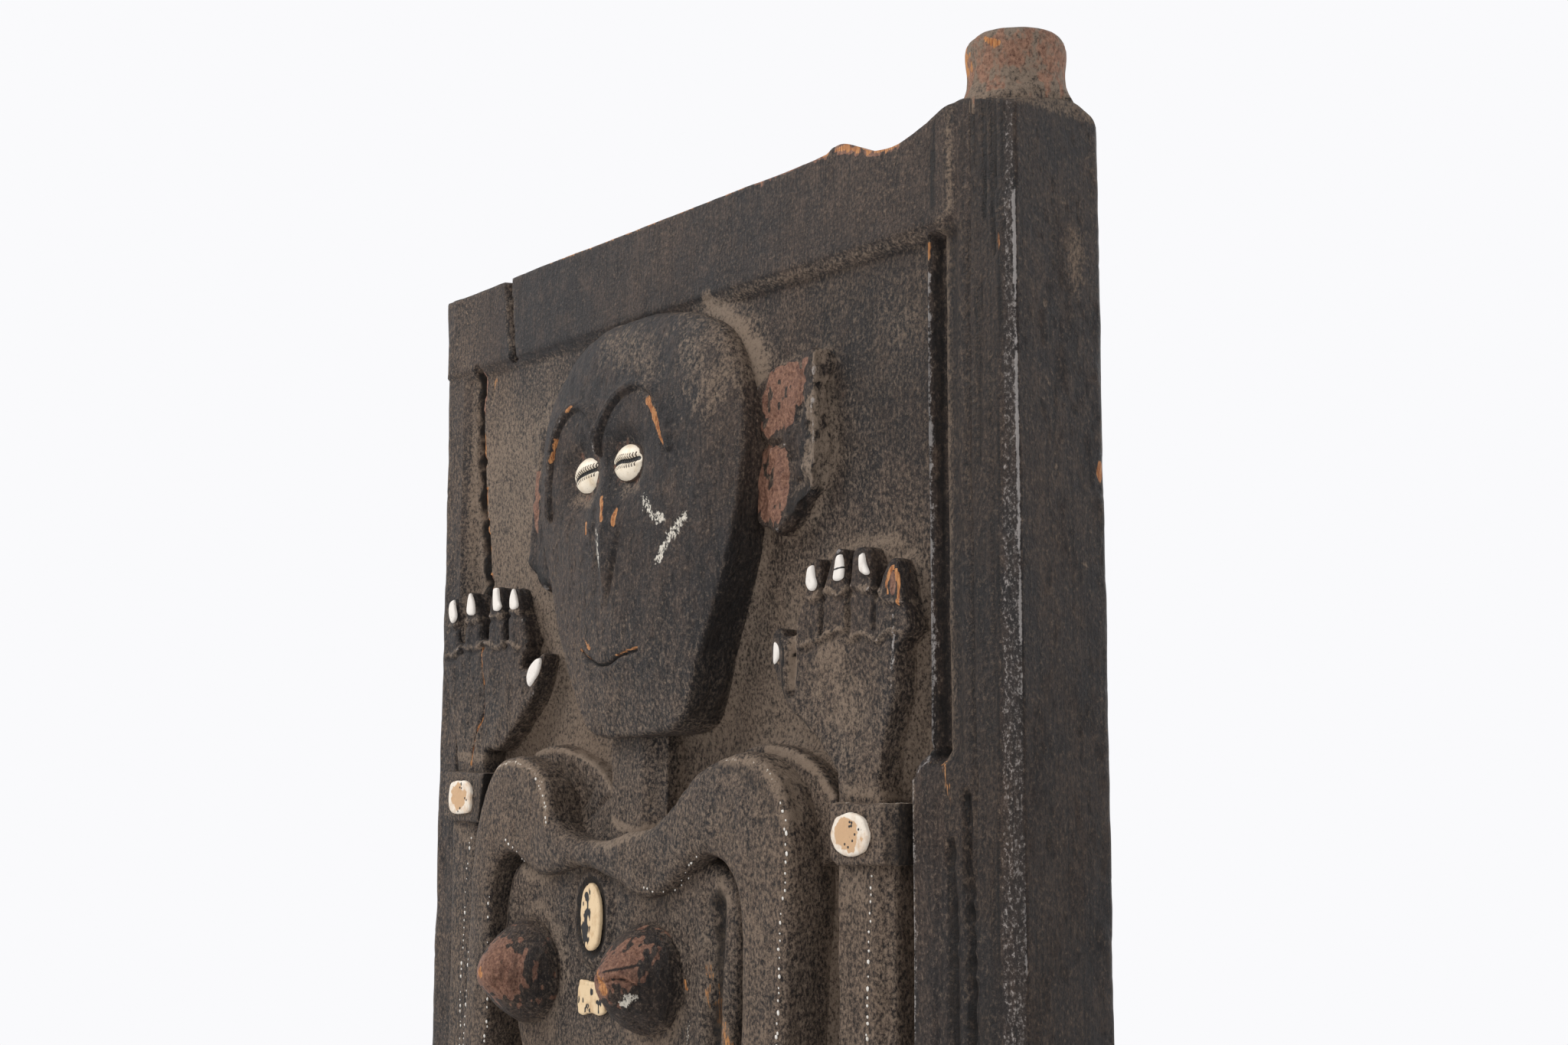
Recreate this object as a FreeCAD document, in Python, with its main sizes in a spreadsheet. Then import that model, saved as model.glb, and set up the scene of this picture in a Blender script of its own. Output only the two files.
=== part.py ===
# Carved granary door: one plank with integral hinge post and pintles, a figure in relief and pale inlays.
# X runs to the right, Y into the door and Z up, with the origin on the hinge axis, halfway down the lower
# pintle.
import FreeCAD, Part
import math
import os

doc = FreeCAD.newDocument("granary_door")

# Driving sizes, in millimetres and degrees
sheet = doc.addObject("Spreadsheet::Sheet", "sizes")
driving_sizes = (
    ("panel_height", 700.0, "lower edge to upper edge of the panel"),
    ("panel_left", 455.0, "hinge axis to the left edge of the panel"),
    ("panel_taper", 5.0, "how far the left edge leans in at the top"),
    ("panel_thickness", 38.0, "front of the frame to the back of the panel"),
    ("post_half_width", 22.0, "hinge axis to either side of the post"),
    ("post_depth", 55.5, "front to back of the hinge post"),
    ("post_rounding", 5.0, "radius of the two back corners of the post"),
    ("post_arris", 3.0, "worn bevel along the front right corner"),
    ("axis_depth", 27.0, "front of the frame back to the hinge axis"),
    ("panel_lift", 18.0, "middle of the lower pintle up to the lower edge"),
    ("overrun", 10.0, "how far cutting shapes pass the wood"),
    ("swag_length", 116.0, "length of the wavy stretch of the upper edge beside the post"),
    ("swag_rise", 10.0, "height of its waves"),
    ("border_height", 50.0, "height of the two borders"),
    ("border_proud", 1.6, "how far the borders stand before the frame"),
    ("border_end", 11.0, "hinge axis to the right end of the borders"),
    ("stile_left", 433.0, "hinge axis to the left side of the recess"),
    ("stile_right", 31.0, "hinge axis to the right side of the recess"),
    ("ground_high", 7.0, "depth of the ground at the upper border"),
    ("ground_low", 14.0, "depth of the ground beside the figure"),
    ("ground_slope", 180.0, "height over which the ground deepens"),
    ("stile_swell", 12.0, "how much wider the hinge stile is below its groove"),
    ("swell_slope", 14.0, "height over which it widens"),
    ("groove_depth", 6.4, "depth of the long groove in the hinge stile"),
    ("groove_length", 227.0, "length of that groove below the upper border"),
    ("groove_runout", 14.0, "length over which the groove runs out"),
    ("groove_least", 0.3, "depth at which the groove ends"),
    ("top_pintle_radius", 21.9, "radius of the land of the upper pintle"),
    ("top_pintle_waist", 21.0, "radius of its waist"),
    ("top_pintle_flare", 22.0, "radius where it meets the post"),
    ("top_pintle_length", 38.0, "length of the upper pintle above the panel"),
    ("top_land_length", 7.0, "length of its cylindrical land"),
    ("top_dome", 9.0, "height of the dome above the land"),
    ("shoulder_radius", 38.0, "radius of the sloping top of the post at its foot"),
    ("shoulder_rise", 4.0, "height of its crest above the panel"),
    ("shoulder_drop", 10.0, "height of its slope"),
    ("low_pintle_radius", 20.0, "radius of the lower pintle"),
    ("low_pintle_flare", 21.8, "radius of the lower pintle at its root"),
    ("low_land_length", 24.0, "length of its cylindrical land"),
    ("low_dome", 6.0, "height of its rounded end"),
    ("root_depth", 4.0, "how deep raised work is rooted in the ground"),
    ("head_across", 240.0, "hinge axis to the middle of the head"),
    ("head_up", 543.0, "lower edge to the middle of the head"),
    ("head_width", 180.0, "width of the head"),
    ("head_height", 217.0, "height of the head"),
    ("head_face", 19.0, "how far the crest of the face stands before the frame"),
    ("head_curve", 300.0, "radius of the curve of the face from side to side"),
    ("head_lean", 1.2, "forward lean of the chin, in degrees"),
    ("brow_radius", 2.6, "half thickness of the brow ridges"),
    ("nose_proud", 27.0, "how far the ridge of the nose stands before the frame"),
    ("nose_root", 7.0, "how deep the foot of the nose is set in the face"),
    ("socket_radius", 20.0, "radius of an eye socket on the face"),
    ("socket_depth", 5.0, "depth of an eye socket"),
    ("mouth_radius", 1.3, "half thickness of the mouth line"),
    ("ear_proud", 3.0, "how far the ears stand before the frame"),
    ("figure_across", 253.0, "hinge axis to the middle of the body"),
    ("figure_up", 242.0, "lower edge to the middle of the body"),
    ("figure_width", 288.0, "width of the body over both upper arms"),
    ("figure_height", 364.0, "height of the body from feet to shoulders"),
    ("neck_proud", 3.0, "how far the neck stands before the frame"),
    ("yoke_proud", 13.0, "how far shoulders and upper arms stand before the frame"),
    ("torso_proud", 6.0, "how far the torso stands before the frame"),
    ("limb_proud", 6.0, "how far forearms and legs stand before the frame"),
    ("band_proud", 9.0, "how far the wristbands stand before the frame"),
    ("breast_radius", 27.0, "radius of a breast at its root"),
    ("breast_length", 30.0, "length of a breast"),
    ("right_hand_across", 94.0, "hinge axis to the middle of the right hand"),
    ("right_hand_up", 458.0, "lower edge to the middle of the right hand"),
    ("right_hand_width", 96.0, "width of the right hand"),
    ("right_hand_height", 116.0, "height of the right hand"),
    ("left_hand_across", 390.0, "hinge axis to the middle of the left hand"),
    ("left_hand_up", 470.0, "lower edge to the middle of the left hand"),
    ("left_hand_width", 104.0, "width of the left hand"),
    ("left_hand_height", 108.0, "height of the left hand"),
    ("hand_proud", 1.0, "how far palms and thumbs stand before the frame"),
    ("finger_proud", 2.0, "how far fingers stand before the frame"),
    ("finger_half", 7.2, "half width of a finger"),
    ("finger_corner", 16.0, "height of the slanting corners of a finger tip"),
    ("finger_notch", 2.2, "depth of the notches at the finger joints"),
    ("soft_edge", 2.4, "bevel along the edges of large raised work"),
    ("fine_edge", 1.2, "bevel along the edges of small raised work"),
    ("arc_tolerance", 0.5, "how far the arcs of an outline may leave its smooth curve"),
    ("inlay_gap", 0.3, "clearance around every inlay in its pocket"),
    ("inlay_rim", 0.5, "bevel around the front of a flat inlay"),
    ("eye_half_width", 14.0, "half width of an eye shell"),
    ("eye_half_height", 10.5, "half height of an eye shell"),
    ("eye_height", 6.6, "height of an eye shell above its seat"),
    ("eye_sink", 0.6, "how far the seat of an eye lies below its socket"),
    ("eye_slope", 3.8, "bevel around the dome of an eye shell"),
    ("slit_width", 1.6, "width of the slit in an eye shell"),
    ("slit_depth", 2.4, "depth of the slit in an eye shell"),
    ("disc_half_width", 12.6, "half width of a wrist disc"),
    ("disc_half_height", 9.8, "half height of a wrist disc"),
    ("oval_half_width", 10.6, "half width of the chest oval"),
    ("oval_half_height", 17.2, "half height of the chest oval"),
    ("square_half_width", 12.4, "half width of the belly square"),
    ("square_half_height", 8.9, "half height of the belly square"),
    ("disc_thickness", 2.4, "thickness of discs, oval and square"),
    ("disc_pocket", 1.6, "depth of their pockets"),
    ("nail_half_width", 3.0, "half width of a finger nail"),
    ("nail_half_height", 6.4, "half height of a finger nail"),
    ("nail_thickness", 1.8, "thickness of a finger nail"),
    ("nail_pocket", 1.0, "depth of the pocket of a finger nail"),
    ("nail_setback", 1.4, "end of a finger back to the point of its nail"),
    ("left_thumb_turn", 36.0, "lean of the left thumb nail, in degrees"),
    ("right_thumb_turn", -8.0, "lean of the right thumb nail, in degrees"),
)
for row_number, (alias, value, note) in enumerate(driving_sizes, start=1):
    sheet.set("A{}".format(row_number), note)
    sheet.set("B{}".format(row_number), str(value))
    sheet.setAlias("B{}".format(row_number), alias)
doc.recompute()

# Outlines as shares of the width and height of their group, measured from its middle
swag_shares = ((0.0, 0.1), (0.15, 0.15), (0.33, -0.6), (0.58, 0.0), (0.76, 0.45), (0.91, 0.05), (1.0, -0.3))
head_shares = ((0.222, 0.475), (0.383, 0.424), (0.467, 0.332), (0.511, 0.134), (0.483, -0.069),
               (0.411, -0.203), (0.328, -0.318), (0.278, -0.401), (0.222, -0.484), (-0.028, -0.502),
               (-0.194, -0.493), (-0.3, -0.382), (-0.389, -0.189), (-0.472, 0.051), (-0.489, 0.23),
               (-0.422, 0.359), (-0.244, 0.475), (-0.006, 0.498))
face_crest_shares = (-0.033, -0.014)
right_ear_shares = ((0.744, 0.309), (0.589, 0.281), (0.467, 0.198), (0.467, 0.041), (0.55, -0.06),
                    (0.617, -0.055), (0.733, 0.028), (0.756, 0.18))
left_ear_shares = ((-0.6, 0.304), (-0.667, 0.226), (-0.65, -0.041), (-0.556, -0.124), (-0.389, -0.088),
                   (-0.389, 0.281))
left_brow_shares = ((-0.383, 0.134), (-0.367, 0.198), (-0.322, 0.253), (-0.267, 0.29), (-0.206, 0.29),
                    (-0.156, 0.263), (-0.122, 0.212), (-0.072, 0.088))
right_brow_shares = ((-0.072, 0.088), (-0.061, 0.161), (-0.011, 0.281), (0.033, 0.313), (0.089, 0.318),
                     (0.139, 0.286), (0.189, 0.217), (0.233, 0.124))
nose_foot_shares = ((-0.1, 0.078), (-0.15, -0.069), (-0.122, -0.143), (-0.056, -0.171), (0.011, -0.143),
                    (0.022, -0.06), (-0.033, 0.078))
nose_ridge_shares = ((-0.072, 0.06), (-0.083, -0.069), (-0.072, -0.129), (-0.056, -0.147), (-0.039, -0.129),
                     (-0.033, -0.06), (-0.056, 0.06))
mouth_shares = ((-0.178, -0.304), (-0.072, -0.332), (0.022, -0.327), (0.117, -0.309))
left_eye_shares = (-0.189, 0.129)
right_eye_shares = (0.022, 0.138)
neck_shares = ((-0.045, 0.555), (0.094, 0.555), (0.094, 0.396), (-0.045, 0.396))
yoke_shares = ((0.052, 0.401), (0.142, 0.415), (0.253, 0.475), (0.378, 0.497), (0.476, 0.451), (0.5, 0.352),
               (0.49, 0.214), (0.479, 0.077), (0.469, -0.044), (0.414, -0.079), (0.358, -0.044),
               (0.365, 0.077), (0.372, 0.214), (0.361, 0.33), (0.281, 0.374), (0.184, 0.33), (0.1, 0.314),
               (0.024, 0.335), (-0.101, 0.352), (-0.226, 0.332), (-0.344, 0.362), (-0.392, 0.318),
               (-0.399, 0.214), (-0.403, 0.077), (-0.41, -0.044), (-0.455, -0.079), (-0.497, -0.044),
               (-0.495, 0.077), (-0.49, 0.214), (-0.483, 0.352), (-0.448, 0.456), (-0.351, 0.495),
               (-0.247, 0.456), (-0.156, 0.398), (-0.045, 0.387))
torso_shares = ((0.267, 0.352), (-0.351, 0.352), (-0.372, 0.242), (-0.358, 0.049), (-0.281, -0.129),
                (-0.184, -0.187), (0.094, -0.187), (0.198, -0.129), (0.267, 0.049), (0.274, 0.242))
right_elbow_shares = ((0.663, 0.033), (0.656, -0.099), (0.594, -0.154), (0.483, -0.165), (0.399, -0.137),
                      (0.358, -0.055), (0.472, -0.049), (0.524, -0.055), (0.569, -0.022), (0.573, 0.033))
left_elbow_shares = ((-0.608, 0.033), (-0.615, -0.099), (-0.573, -0.148), (-0.503, -0.165), (-0.427, -0.132),
                     (-0.403, -0.055), (-0.497, -0.049), (-0.507, -0.022), (-0.517, 0.033))
right_leg_shares = ((0.198, -0.104), (0.26, -0.187), (0.302, -0.264), (0.281, -0.319), (0.247, -0.418),
                    (0.337, -0.44), (0.344, -0.5), (0.108, -0.5), (0.101, -0.429), (0.135, -0.33),
                    (0.122, -0.253), (0.01, -0.176), (0.01, -0.104))
left_leg_shares = ((-0.288, -0.104), (-0.351, -0.187), (-0.392, -0.264), (-0.372, -0.319), (-0.337, -0.418),
                   (-0.427, -0.44), (-0.434, -0.5), (-0.198, -0.5), (-0.191, -0.429), (-0.226, -0.33),
                   (-0.212, -0.253), (-0.101, -0.176), (-0.101, -0.104))
right_forearm_shares = ((0.587, 0.396), (0.663, 0.396), (0.663, 0.022), (0.573, 0.022))
left_forearm_shares = ((-0.604, 0.445), (-0.51, 0.445), (-0.517, 0.022), (-0.608, 0.022))
right_band_shares = ((0.573, 0.44), (0.691, 0.44), (0.691, 0.368), (0.573, 0.368))
left_band_shares = ((-0.618, 0.481), (-0.472, 0.486), (-0.472, 0.407), (-0.618, 0.412))
right_disc_shares = (0.626, 0.403)
left_disc_shares = (-0.543, 0.445)
chest_oval_shares = (-0.091, 0.279)
belly_square_shares = (-0.083, 0.168)
right_breast_shares = (0.083, 0.203)
left_breast_shares = (-0.299, 0.195)
right_palm_shares = ((0.125, -0.5), (0.354, -0.5), (0.396, -0.328), (0.469, -0.103), (0.49, 0.19),
                     (-0.25, 0.207), (-0.312, -0.069), (-0.167, -0.224), (0.052, -0.345))
right_thumb_shares = ((-0.208, -0.207), (-0.344, -0.103), (-0.45, 0.062), (-0.469, 0.155), (-0.443, 0.207),
                      (-0.385, 0.198), (-0.322, 0.121), (-0.167, 0.052))
right_thumb_nail_shares = (-0.399, 0.114)
right_finger_shares = (("index", -0.129, 0.466), ("middle", 0.067, 0.491), ("ring", 0.243, 0.5),
                       ("little", 0.417, 0.457))
right_joint_shares = (0.069, 0.155, 0.31)
left_palm_shares = ((-0.385, -0.5), (-0.077, -0.5), (0.038, -0.37), (0.269, -0.185), (0.298, 0.111),
                    (-0.49, 0.13), (-0.5, -0.148), (-0.442, -0.352))
left_thumb_shares = ((0.154, -0.315), (0.337, -0.148), (0.496, 0.0), (0.515, 0.12), (0.423, 0.13),
                     (0.327, 0.019), (0.192, -0.019))
left_thumb_nail_shares = (0.438, 0.018)
left_finger_shares = (("little", -0.424, 0.463), ("ring", -0.228, 0.481), ("middle", 0.049, 0.491),
                      ("index", 0.226, 0.472))
left_joint_shares = (-0.037, 0.083, 0.259)
breast_profile_shares = ((1.0, 0.0), (0.96, 0.2), (0.82, 0.44), (0.56, 0.68), (0.26, 0.9), (0.1, 0.98),
                         (0.0, 1.0))
groove_profile_shares = (0.94, 0.71, 0.13)
oval_shares = ((1.0, 0.0), (0.707, 0.707), (0.0, 1.0), (-0.707, 0.707), (-1.0, 0.0), (-0.707, -0.707),
               (0.0, -1.0), (0.707, -0.707))
waist_shares = (0.28, 0.45, 0.53)
dome_shares = ((0.94, 0.42), (0.68, 0.82), (0.3, 1.0))
nail_shares = ((0.0, 1.0), (0.62, 0.42), (1.0, -0.2), (0.72, -1.0), (-0.72, -1.0), (-1.0, -0.2),
               (-0.62, 0.42))
finger_tip_share = 0.5


def size(alias):
    """Return one driving size from the sheet."""
    return float(sheet.get(alias))


front_y = -size("axis_depth")
inward = FreeCAD.Vector(0, 1, 0)


def place(group, shares, proud=0.0):
    """Return the point at a pair of shares of a group, standing before the frame by a length."""
    across, up = shares
    return FreeCAD.Vector(across * size(group + "_width") - size(group + "_across"), front_y - proud,
                          size("panel_lift") + size(group + "_up") + up * size(group + "_height"))


def polygon(points):
    """Return the closed wire through points, with straight sides."""
    return Part.makePolygon(points + points[:1])


def smooth(points):
    """Return the closed wire of tangent arcs that follows one smooth curve through points."""
    curve = Part.BSplineCurve()
    curve.interpolate(Points=points, PeriodicFlag=True)
    return Part.Wire([arc.toShape() for arc in curve.toBiArcs(size("arc_tolerance"))])


def keep(name, shape):
    """Store a shape that no primitive fits, and return its object."""
    item = doc.addObject("Part::Feature", name)
    item.Shape = shape
    return item


def join(name, items):
    """Fuse objects into one."""
    fused = doc.addObject("Part::MultiFuse", name)
    fused.Shapes = items
    return fused


def overlap(name, items):
    """Keep only what objects have in common."""
    common = doc.addObject("Part::MultiCommon", name)
    common.Shapes = items
    return common


def cut(name, base, tool):
    """Cut one object with another."""
    result = doc.addObject("Part::Cut", name)
    result.Base = base
    result.Tool = tool
    return result


def bind(item, formulas):
    """Tie properties of an object to the sheet."""
    for key, formula in formulas.items():
        item.setExpression(key, formula)
    return item


def box(name, lengths, corner):
    """Add a box whose lengths and corner are formulas of the sheet."""
    item = doc.addObject("Part::Box", name)
    bind(item, dict(zip(("Length", "Width", "Height"), lengths)))
    return bind(item, dict(zip((".Placement.Base.x", ".Placement.Base.y", ".Placement.Base.z"), corner)))


def extrude(name, face_item, direction, formula):
    """Extrude a stored face along a direction by a length from the sheet."""
    item = doc.addObject("Part::Extrusion", name)
    item.Base = face_item
    item.DirMode = "Custom"
    item.Dir = direction
    item.Solid = True
    return bind(item, {"LengthFwd": formula})


def front_bevel(solid, bevel):
    """Bevel the edges around the flat front face of a solid."""
    face_y = solid.BoundBox.YMin
    front = min(solid.Faces, key=lambda face: face.CenterOfMass.y)
    assert front.BoundBox.YMax - face_y < bevel
    return solid.makeChamfer(bevel, front.Edges)


def relief(name, wire, proud_alias, edge_alias):
    """Raise a wire that lies at its front from below the ground, with bevelled edges."""
    rise = size(proud_alias) + size("ground_low") + size("root_depth")
    return keep(name, front_bevel(Part.Face(wire).extrude(inward * rise), size(edge_alias)))


def figure_relief(name, group, shares, proud_alias, edge_alias, wire_of=polygon):
    """Raise an outline of shares of its group."""
    points = [place(group, pair, size(proud_alias)) for pair in shares]
    return relief(name, wire_of(points), proud_alias, edge_alias)


def face_proud(shares):
    """Return how far the curved, leaning face stands before the frame at a pair of shares of the head."""
    across = (shares[0] - face_crest_shares[0]) * size("head_width")
    below = (face_crest_shares[1] - shares[1]) * size("head_height")
    sag = size("head_curve") - math.sqrt(size("head_curve") ** 2 - across ** 2)
    return size("head_face") - sag + below * math.tan(math.radians(size("head_lean")))


def bead(shares, radius):
    """Sweep a circle with mitred corners along a line that lies on the face."""
    points = [place("head", pair, face_proud(pair)) for pair in shares]
    ring = Part.Wire([Part.makeCircle(radius, points[0], points[1] - points[0])])
    mitred = 1
    return Part.makePolygon(points).makePipeShell([ring], True, True, mitred)


def oval(centre, half_width, half_height):
    """Return the oval wire around its centre."""
    return smooth([centre + FreeCAD.Vector(across * half_width, 0, up * half_height)
                   for across, up in oval_shares])


def oval_prism(centre, half_width, half_height, depth):
    """Return an oval prism that runs from its centre into the door."""
    return Part.Face(oval(centre, half_width, half_height)).extrude(inward * depth)


def nail_prism(centre, turn, growth, depth):
    """Return a leaf-shaped prism that runs from its centre into the door."""
    half_width = size("nail_half_width") + growth
    half_height = size("nail_half_height") + growth
    points = [centre + FreeCAD.Vector(across * half_width, 0, up * half_height) for across, up in nail_shares]
    prism = Part.Face(polygon(points)).extrude(inward * depth)
    prism.rotate(centre, inward, turn)
    return prism


def pintle(name, stations):
    """Turn a pintle around the hinge axis from pairs of radius and height, foot first."""
    points = [FreeCAD.Vector(radius, 0, height) for radius, height in stations]
    points += [FreeCAD.Vector(0, 0, points[-1].z), FreeCAD.Vector(0, 0, points[0].z)]
    return keep(name, Part.Face(polygon(points)).revolve(FreeCAD.Vector(), FreeCAD.Vector(0, 0, 1), 360))


# Panel, borders and hinge post, trimmed to one silhouette
panel = box("panel",
            ("sizes.panel_left + sizes.overrun", "sizes.panel_thickness",
             "sizes.panel_height + 2 * sizes.overrun"),
            ("-sizes.panel_left - sizes.overrun", "-sizes.axis_depth", "sizes.panel_lift - sizes.overrun"))
border_lengths = ("sizes.panel_left + sizes.overrun - sizes.border_end",
                  "sizes.border_proud + sizes.post_arris", "sizes.border_height + sizes.overrun")
border_places = {"lower_border": "sizes.panel_lift - sizes.overrun",
                 "upper_border": "sizes.panel_lift + sizes.panel_height - sizes.border_height"}
borders = [box(name, border_lengths, ("-sizes.panel_left - sizes.overrun",
                                      "-sizes.axis_depth - sizes.border_proud", height))
           for name, height in border_places.items()]

post_side = size("post_half_width")
back_y = front_y + size("post_depth")
bend = size("post_rounding")
arris = size("post_arris")
post_foot = size("panel_lift") - size("overrun")
post_corner = bend * (1 - math.sqrt(0.5))
post_points = [FreeCAD.Vector(x, y, post_foot) for x, y in (
    (-post_side, front_y), (post_side - arris, front_y), (post_side, front_y + arris),
    (post_side, back_y - bend), (post_side - post_corner, back_y - post_corner), (post_side - bend, back_y),
    (bend - post_side, back_y), (post_corner - post_side, back_y - post_corner), (-post_side, back_y - bend))]
post_edges = [Part.makeLine(post_points[0], post_points[1]), Part.makeLine(post_points[1], post_points[2]),
              Part.makeLine(post_points[2], post_points[3]), Part.Arc(*post_points[3:6]).toShape(),
              Part.makeLine(post_points[5], post_points[6]), Part.Arc(*post_points[6:9]).toShape(),
              Part.makeLine(post_points[8], post_points[0])]
post_section = keep("post_section", Part.Face(Part.Wire(post_edges)))
post = extrude("hinge_post", post_section, FreeCAD.Vector(0, 0, 1), "sizes.panel_height + 3 * sizes.overrun")

silhouette_y = front_y - size("overrun")
panel_top = size("panel_lift") + size("panel_height")
swag_start = post_side - size("swag_length")
swag = Part.BSplineCurve()
swag.interpolate([FreeCAD.Vector(swag_start + across * size("swag_length"), silhouette_y,
                                 panel_top + up * size("swag_rise")) for across, up in swag_shares])
corners = [swag.EndPoint, FreeCAD.Vector(post_side, silhouette_y, size("panel_lift")),
           FreeCAD.Vector(-size("panel_left"), silhouette_y, size("panel_lift")),
           FreeCAD.Vector(size("panel_taper") - size("panel_left"), silhouette_y, panel_top), swag.StartPoint]
silhouette_edges = [swag.toShape()] + [Part.makeLine(a, b) for a, b in zip(corners, corners[1:])]
silhouette_face = keep("silhouette_face", Part.Face(Part.Wire(Part.__sortEdges__(silhouette_edges))))
silhouette = extrude("silhouette", silhouette_face, inward, "sizes.post_depth + 2 * sizes.overrun")
blank = overlap("blank", [join("plank", [panel, post] + borders), silhouette])

# Recess with a sloping ground, and the groove of the hinge stile
recess_low = size("panel_lift") + size("border_height")
recess_high = panel_top - size("border_height")
open_y = silhouette_y - size("border_proud")
recess_points = [FreeCAD.Vector(-size("stile_left"), y, z) for y, z in (
    (open_y, recess_low), (open_y, recess_high), (front_y + size("ground_high"), recess_high),
    (front_y + size("ground_low"), recess_high - size("ground_slope")),
    (front_y + size("ground_low"), recess_low))]
recess_face = keep("recess_face", Part.Face(polygon(recess_points)))
recess = extrude("recess", recess_face, FreeCAD.Vector(1, 0, 0), "sizes.stile_left - sizes.stile_right")


def groove_section(height, depth):
    """Return the section of the stile groove at a height."""
    left, valley, right = [-size("stile_right") * share for share in groove_profile_shares]
    return polygon([FreeCAD.Vector(left, front_y, height), FreeCAD.Vector(valley, front_y + depth, height),
                    FreeCAD.Vector(right, front_y, height), FreeCAD.Vector(right, front_y - arris, height),
                    FreeCAD.Vector(left, front_y - arris, height)])


groove_foot = recess_high - size("groove_length")
groove = keep("stile_groove", Part.makeLoft([
    groove_section(recess_high, size("groove_depth")),
    groove_section(groove_foot + size("groove_runout"), size("groove_depth")),
    groove_section(groove_foot, size("groove_least"))], True, True))
frame = cut("frame", blank, join("frame_cuts", [recess, groove]))
swell_edge = -size("stile_right") - size("stile_swell")
swell_root = -size("stile_right") + size("root_depth")
swell_points = [FreeCAD.Vector(x, front_y, z) for x, z in (
    (swell_root, recess_low - size("root_depth")), (swell_root, groove_foot),
    (-size("stile_right"), groove_foot), (swell_edge, groove_foot - size("swell_slope")),
    (swell_edge, recess_low - size("root_depth")))]
stile_swelling = keep("stile_swelling", Part.Face(polygon(swell_points)).extrude(
    inward * (size("ground_low") + size("root_depth"))))

# Sloping top of the post around the upper pintle
shoulder_crest = panel_top + size("shoulder_rise")
shoulder_foot = shoulder_crest - size("shoulder_drop")
cone = pintle("shoulder_cone", [(size("shoulder_radius"), shoulder_foot - size("shoulder_drop")),
                                (size("shoulder_radius"), shoulder_foot),
                                (size("top_pintle_flare"), shoulder_crest)])
post_shoulder = overlap("post_shoulder", [post, cone])

# Pintles, each with a true cylindrical land
knob_end = panel_top + size("top_pintle_length")
knob_dome = knob_end - size("top_dome")
knob_flare = size("top_pintle_flare")
knob_waist = size("top_pintle_waist")
top_stations = [(knob_flare, panel_top - size("swag_rise")), (knob_flare, panel_top + size("root_depth"))]
top_stations += [(radius, panel_top + size("top_pintle_length") * share) for radius, share in zip(
    ((knob_flare + knob_waist) / 2, knob_waist, knob_waist), waist_shares)]
top_stations += [(size("top_pintle_radius"), knob_dome - size("top_land_length")),
                 (size("top_pintle_radius"), knob_dome)]
top_stations += [(size("top_pintle_radius") * wide, knob_dome + size("top_dome") * high)
                 for wide, high in dome_shares]
top_pintle = pintle("top_pintle", top_stations)
low_land = size("low_land_length") / 2
low_stations = [(size("low_pintle_flare"), size("panel_lift") + size("root_depth")),
                (size("low_pintle_flare"), size("panel_lift")),
                (size("low_pintle_radius"), low_land), (size("low_pintle_radius"), -low_land)]
low_stations += [(size("low_pintle_radius") * wide, -low_land - size("low_dome") * high)
                 for wide, high in dome_shares]
bottom_pintle = pintle("bottom_pintle", low_stations)

# Head: a smooth outline cut to a curved, leaning face, with nose, brows and ears
head_front = size("head_face") + size("overrun")
head_points = [place("head", pair, head_front) for pair in head_shares]
head_block = keep("head_block", Part.Face(smooth(head_points)).extrude(
    inward * (head_front + size("ground_low") + size("root_depth"))))
crest = place("head", face_crest_shares, size("head_face"))
roll = Part.makeCylinder(size("head_curve"), size("head_curve") * 2,
                         crest + FreeCAD.Vector(0, size("head_curve"), -size("head_curve")))
roll.rotate(crest, FreeCAD.Vector(1, 0, 0), size("head_lean"))
head = overlap("head", [head_block, keep("face_roll", roll)])
nose_foot = [place("head", pair, face_proud(pair) - size("nose_root")) for pair in nose_foot_shares]
nose_foot_y = max(point.y for point in nose_foot)
nose_foot = [FreeCAD.Vector(point.x, nose_foot_y, point.z) for point in nose_foot]
nose_ridge = [place("head", pair, size("nose_proud")) for pair in nose_ridge_shares]
carving = [
    head,
    keep("nose", Part.makeLoft([polygon(nose_foot), polygon(nose_ridge)], True, True)),
    keep("left_brow", bead(left_brow_shares, size("brow_radius"))),
    keep("right_brow", bead(right_brow_shares, size("brow_radius"))),
    figure_relief("right_ear", "head", right_ear_shares, "ear_proud", "soft_edge"),
    figure_relief("left_ear", "head", left_ear_shares, "ear_proud", "soft_edge"),
]

# Body, limbs and wristbands
carving += [
    stile_swelling,
    figure_relief("neck", "figure", neck_shares, "neck_proud", "fine_edge"),
    figure_relief("torso", "figure", torso_shares, "torso_proud", "soft_edge", smooth),
    figure_relief("yoke_and_arms", "figure", yoke_shares, "yoke_proud", "soft_edge", smooth),
    figure_relief("right_elbow", "figure", right_elbow_shares, "limb_proud", "soft_edge", smooth),
    figure_relief("left_elbow", "figure", left_elbow_shares, "limb_proud", "soft_edge", smooth),
    figure_relief("right_leg", "figure", right_leg_shares, "limb_proud", "soft_edge"),
    figure_relief("left_leg", "figure", left_leg_shares, "limb_proud", "soft_edge"),
    figure_relief("right_forearm", "figure", right_forearm_shares, "limb_proud", "fine_edge"),
    figure_relief("left_forearm", "figure", left_forearm_shares, "limb_proud", "fine_edge"),
    figure_relief("right_band", "figure", right_band_shares, "band_proud", "fine_edge"),
    figure_relief("left_band", "figure", left_band_shares, "band_proud", "fine_edge"),
]
breast_points = [FreeCAD.Vector(radius * size("breast_radius"), -length * size("breast_length"), 0)
                 for radius, length in breast_profile_shares]
breast_root = inward * size("root_depth")
breast_face = Part.Face(polygon(breast_points + [breast_root, breast_points[0] + breast_root]))
breast_solid = breast_face.revolve(FreeCAD.Vector(), inward, 360)
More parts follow.
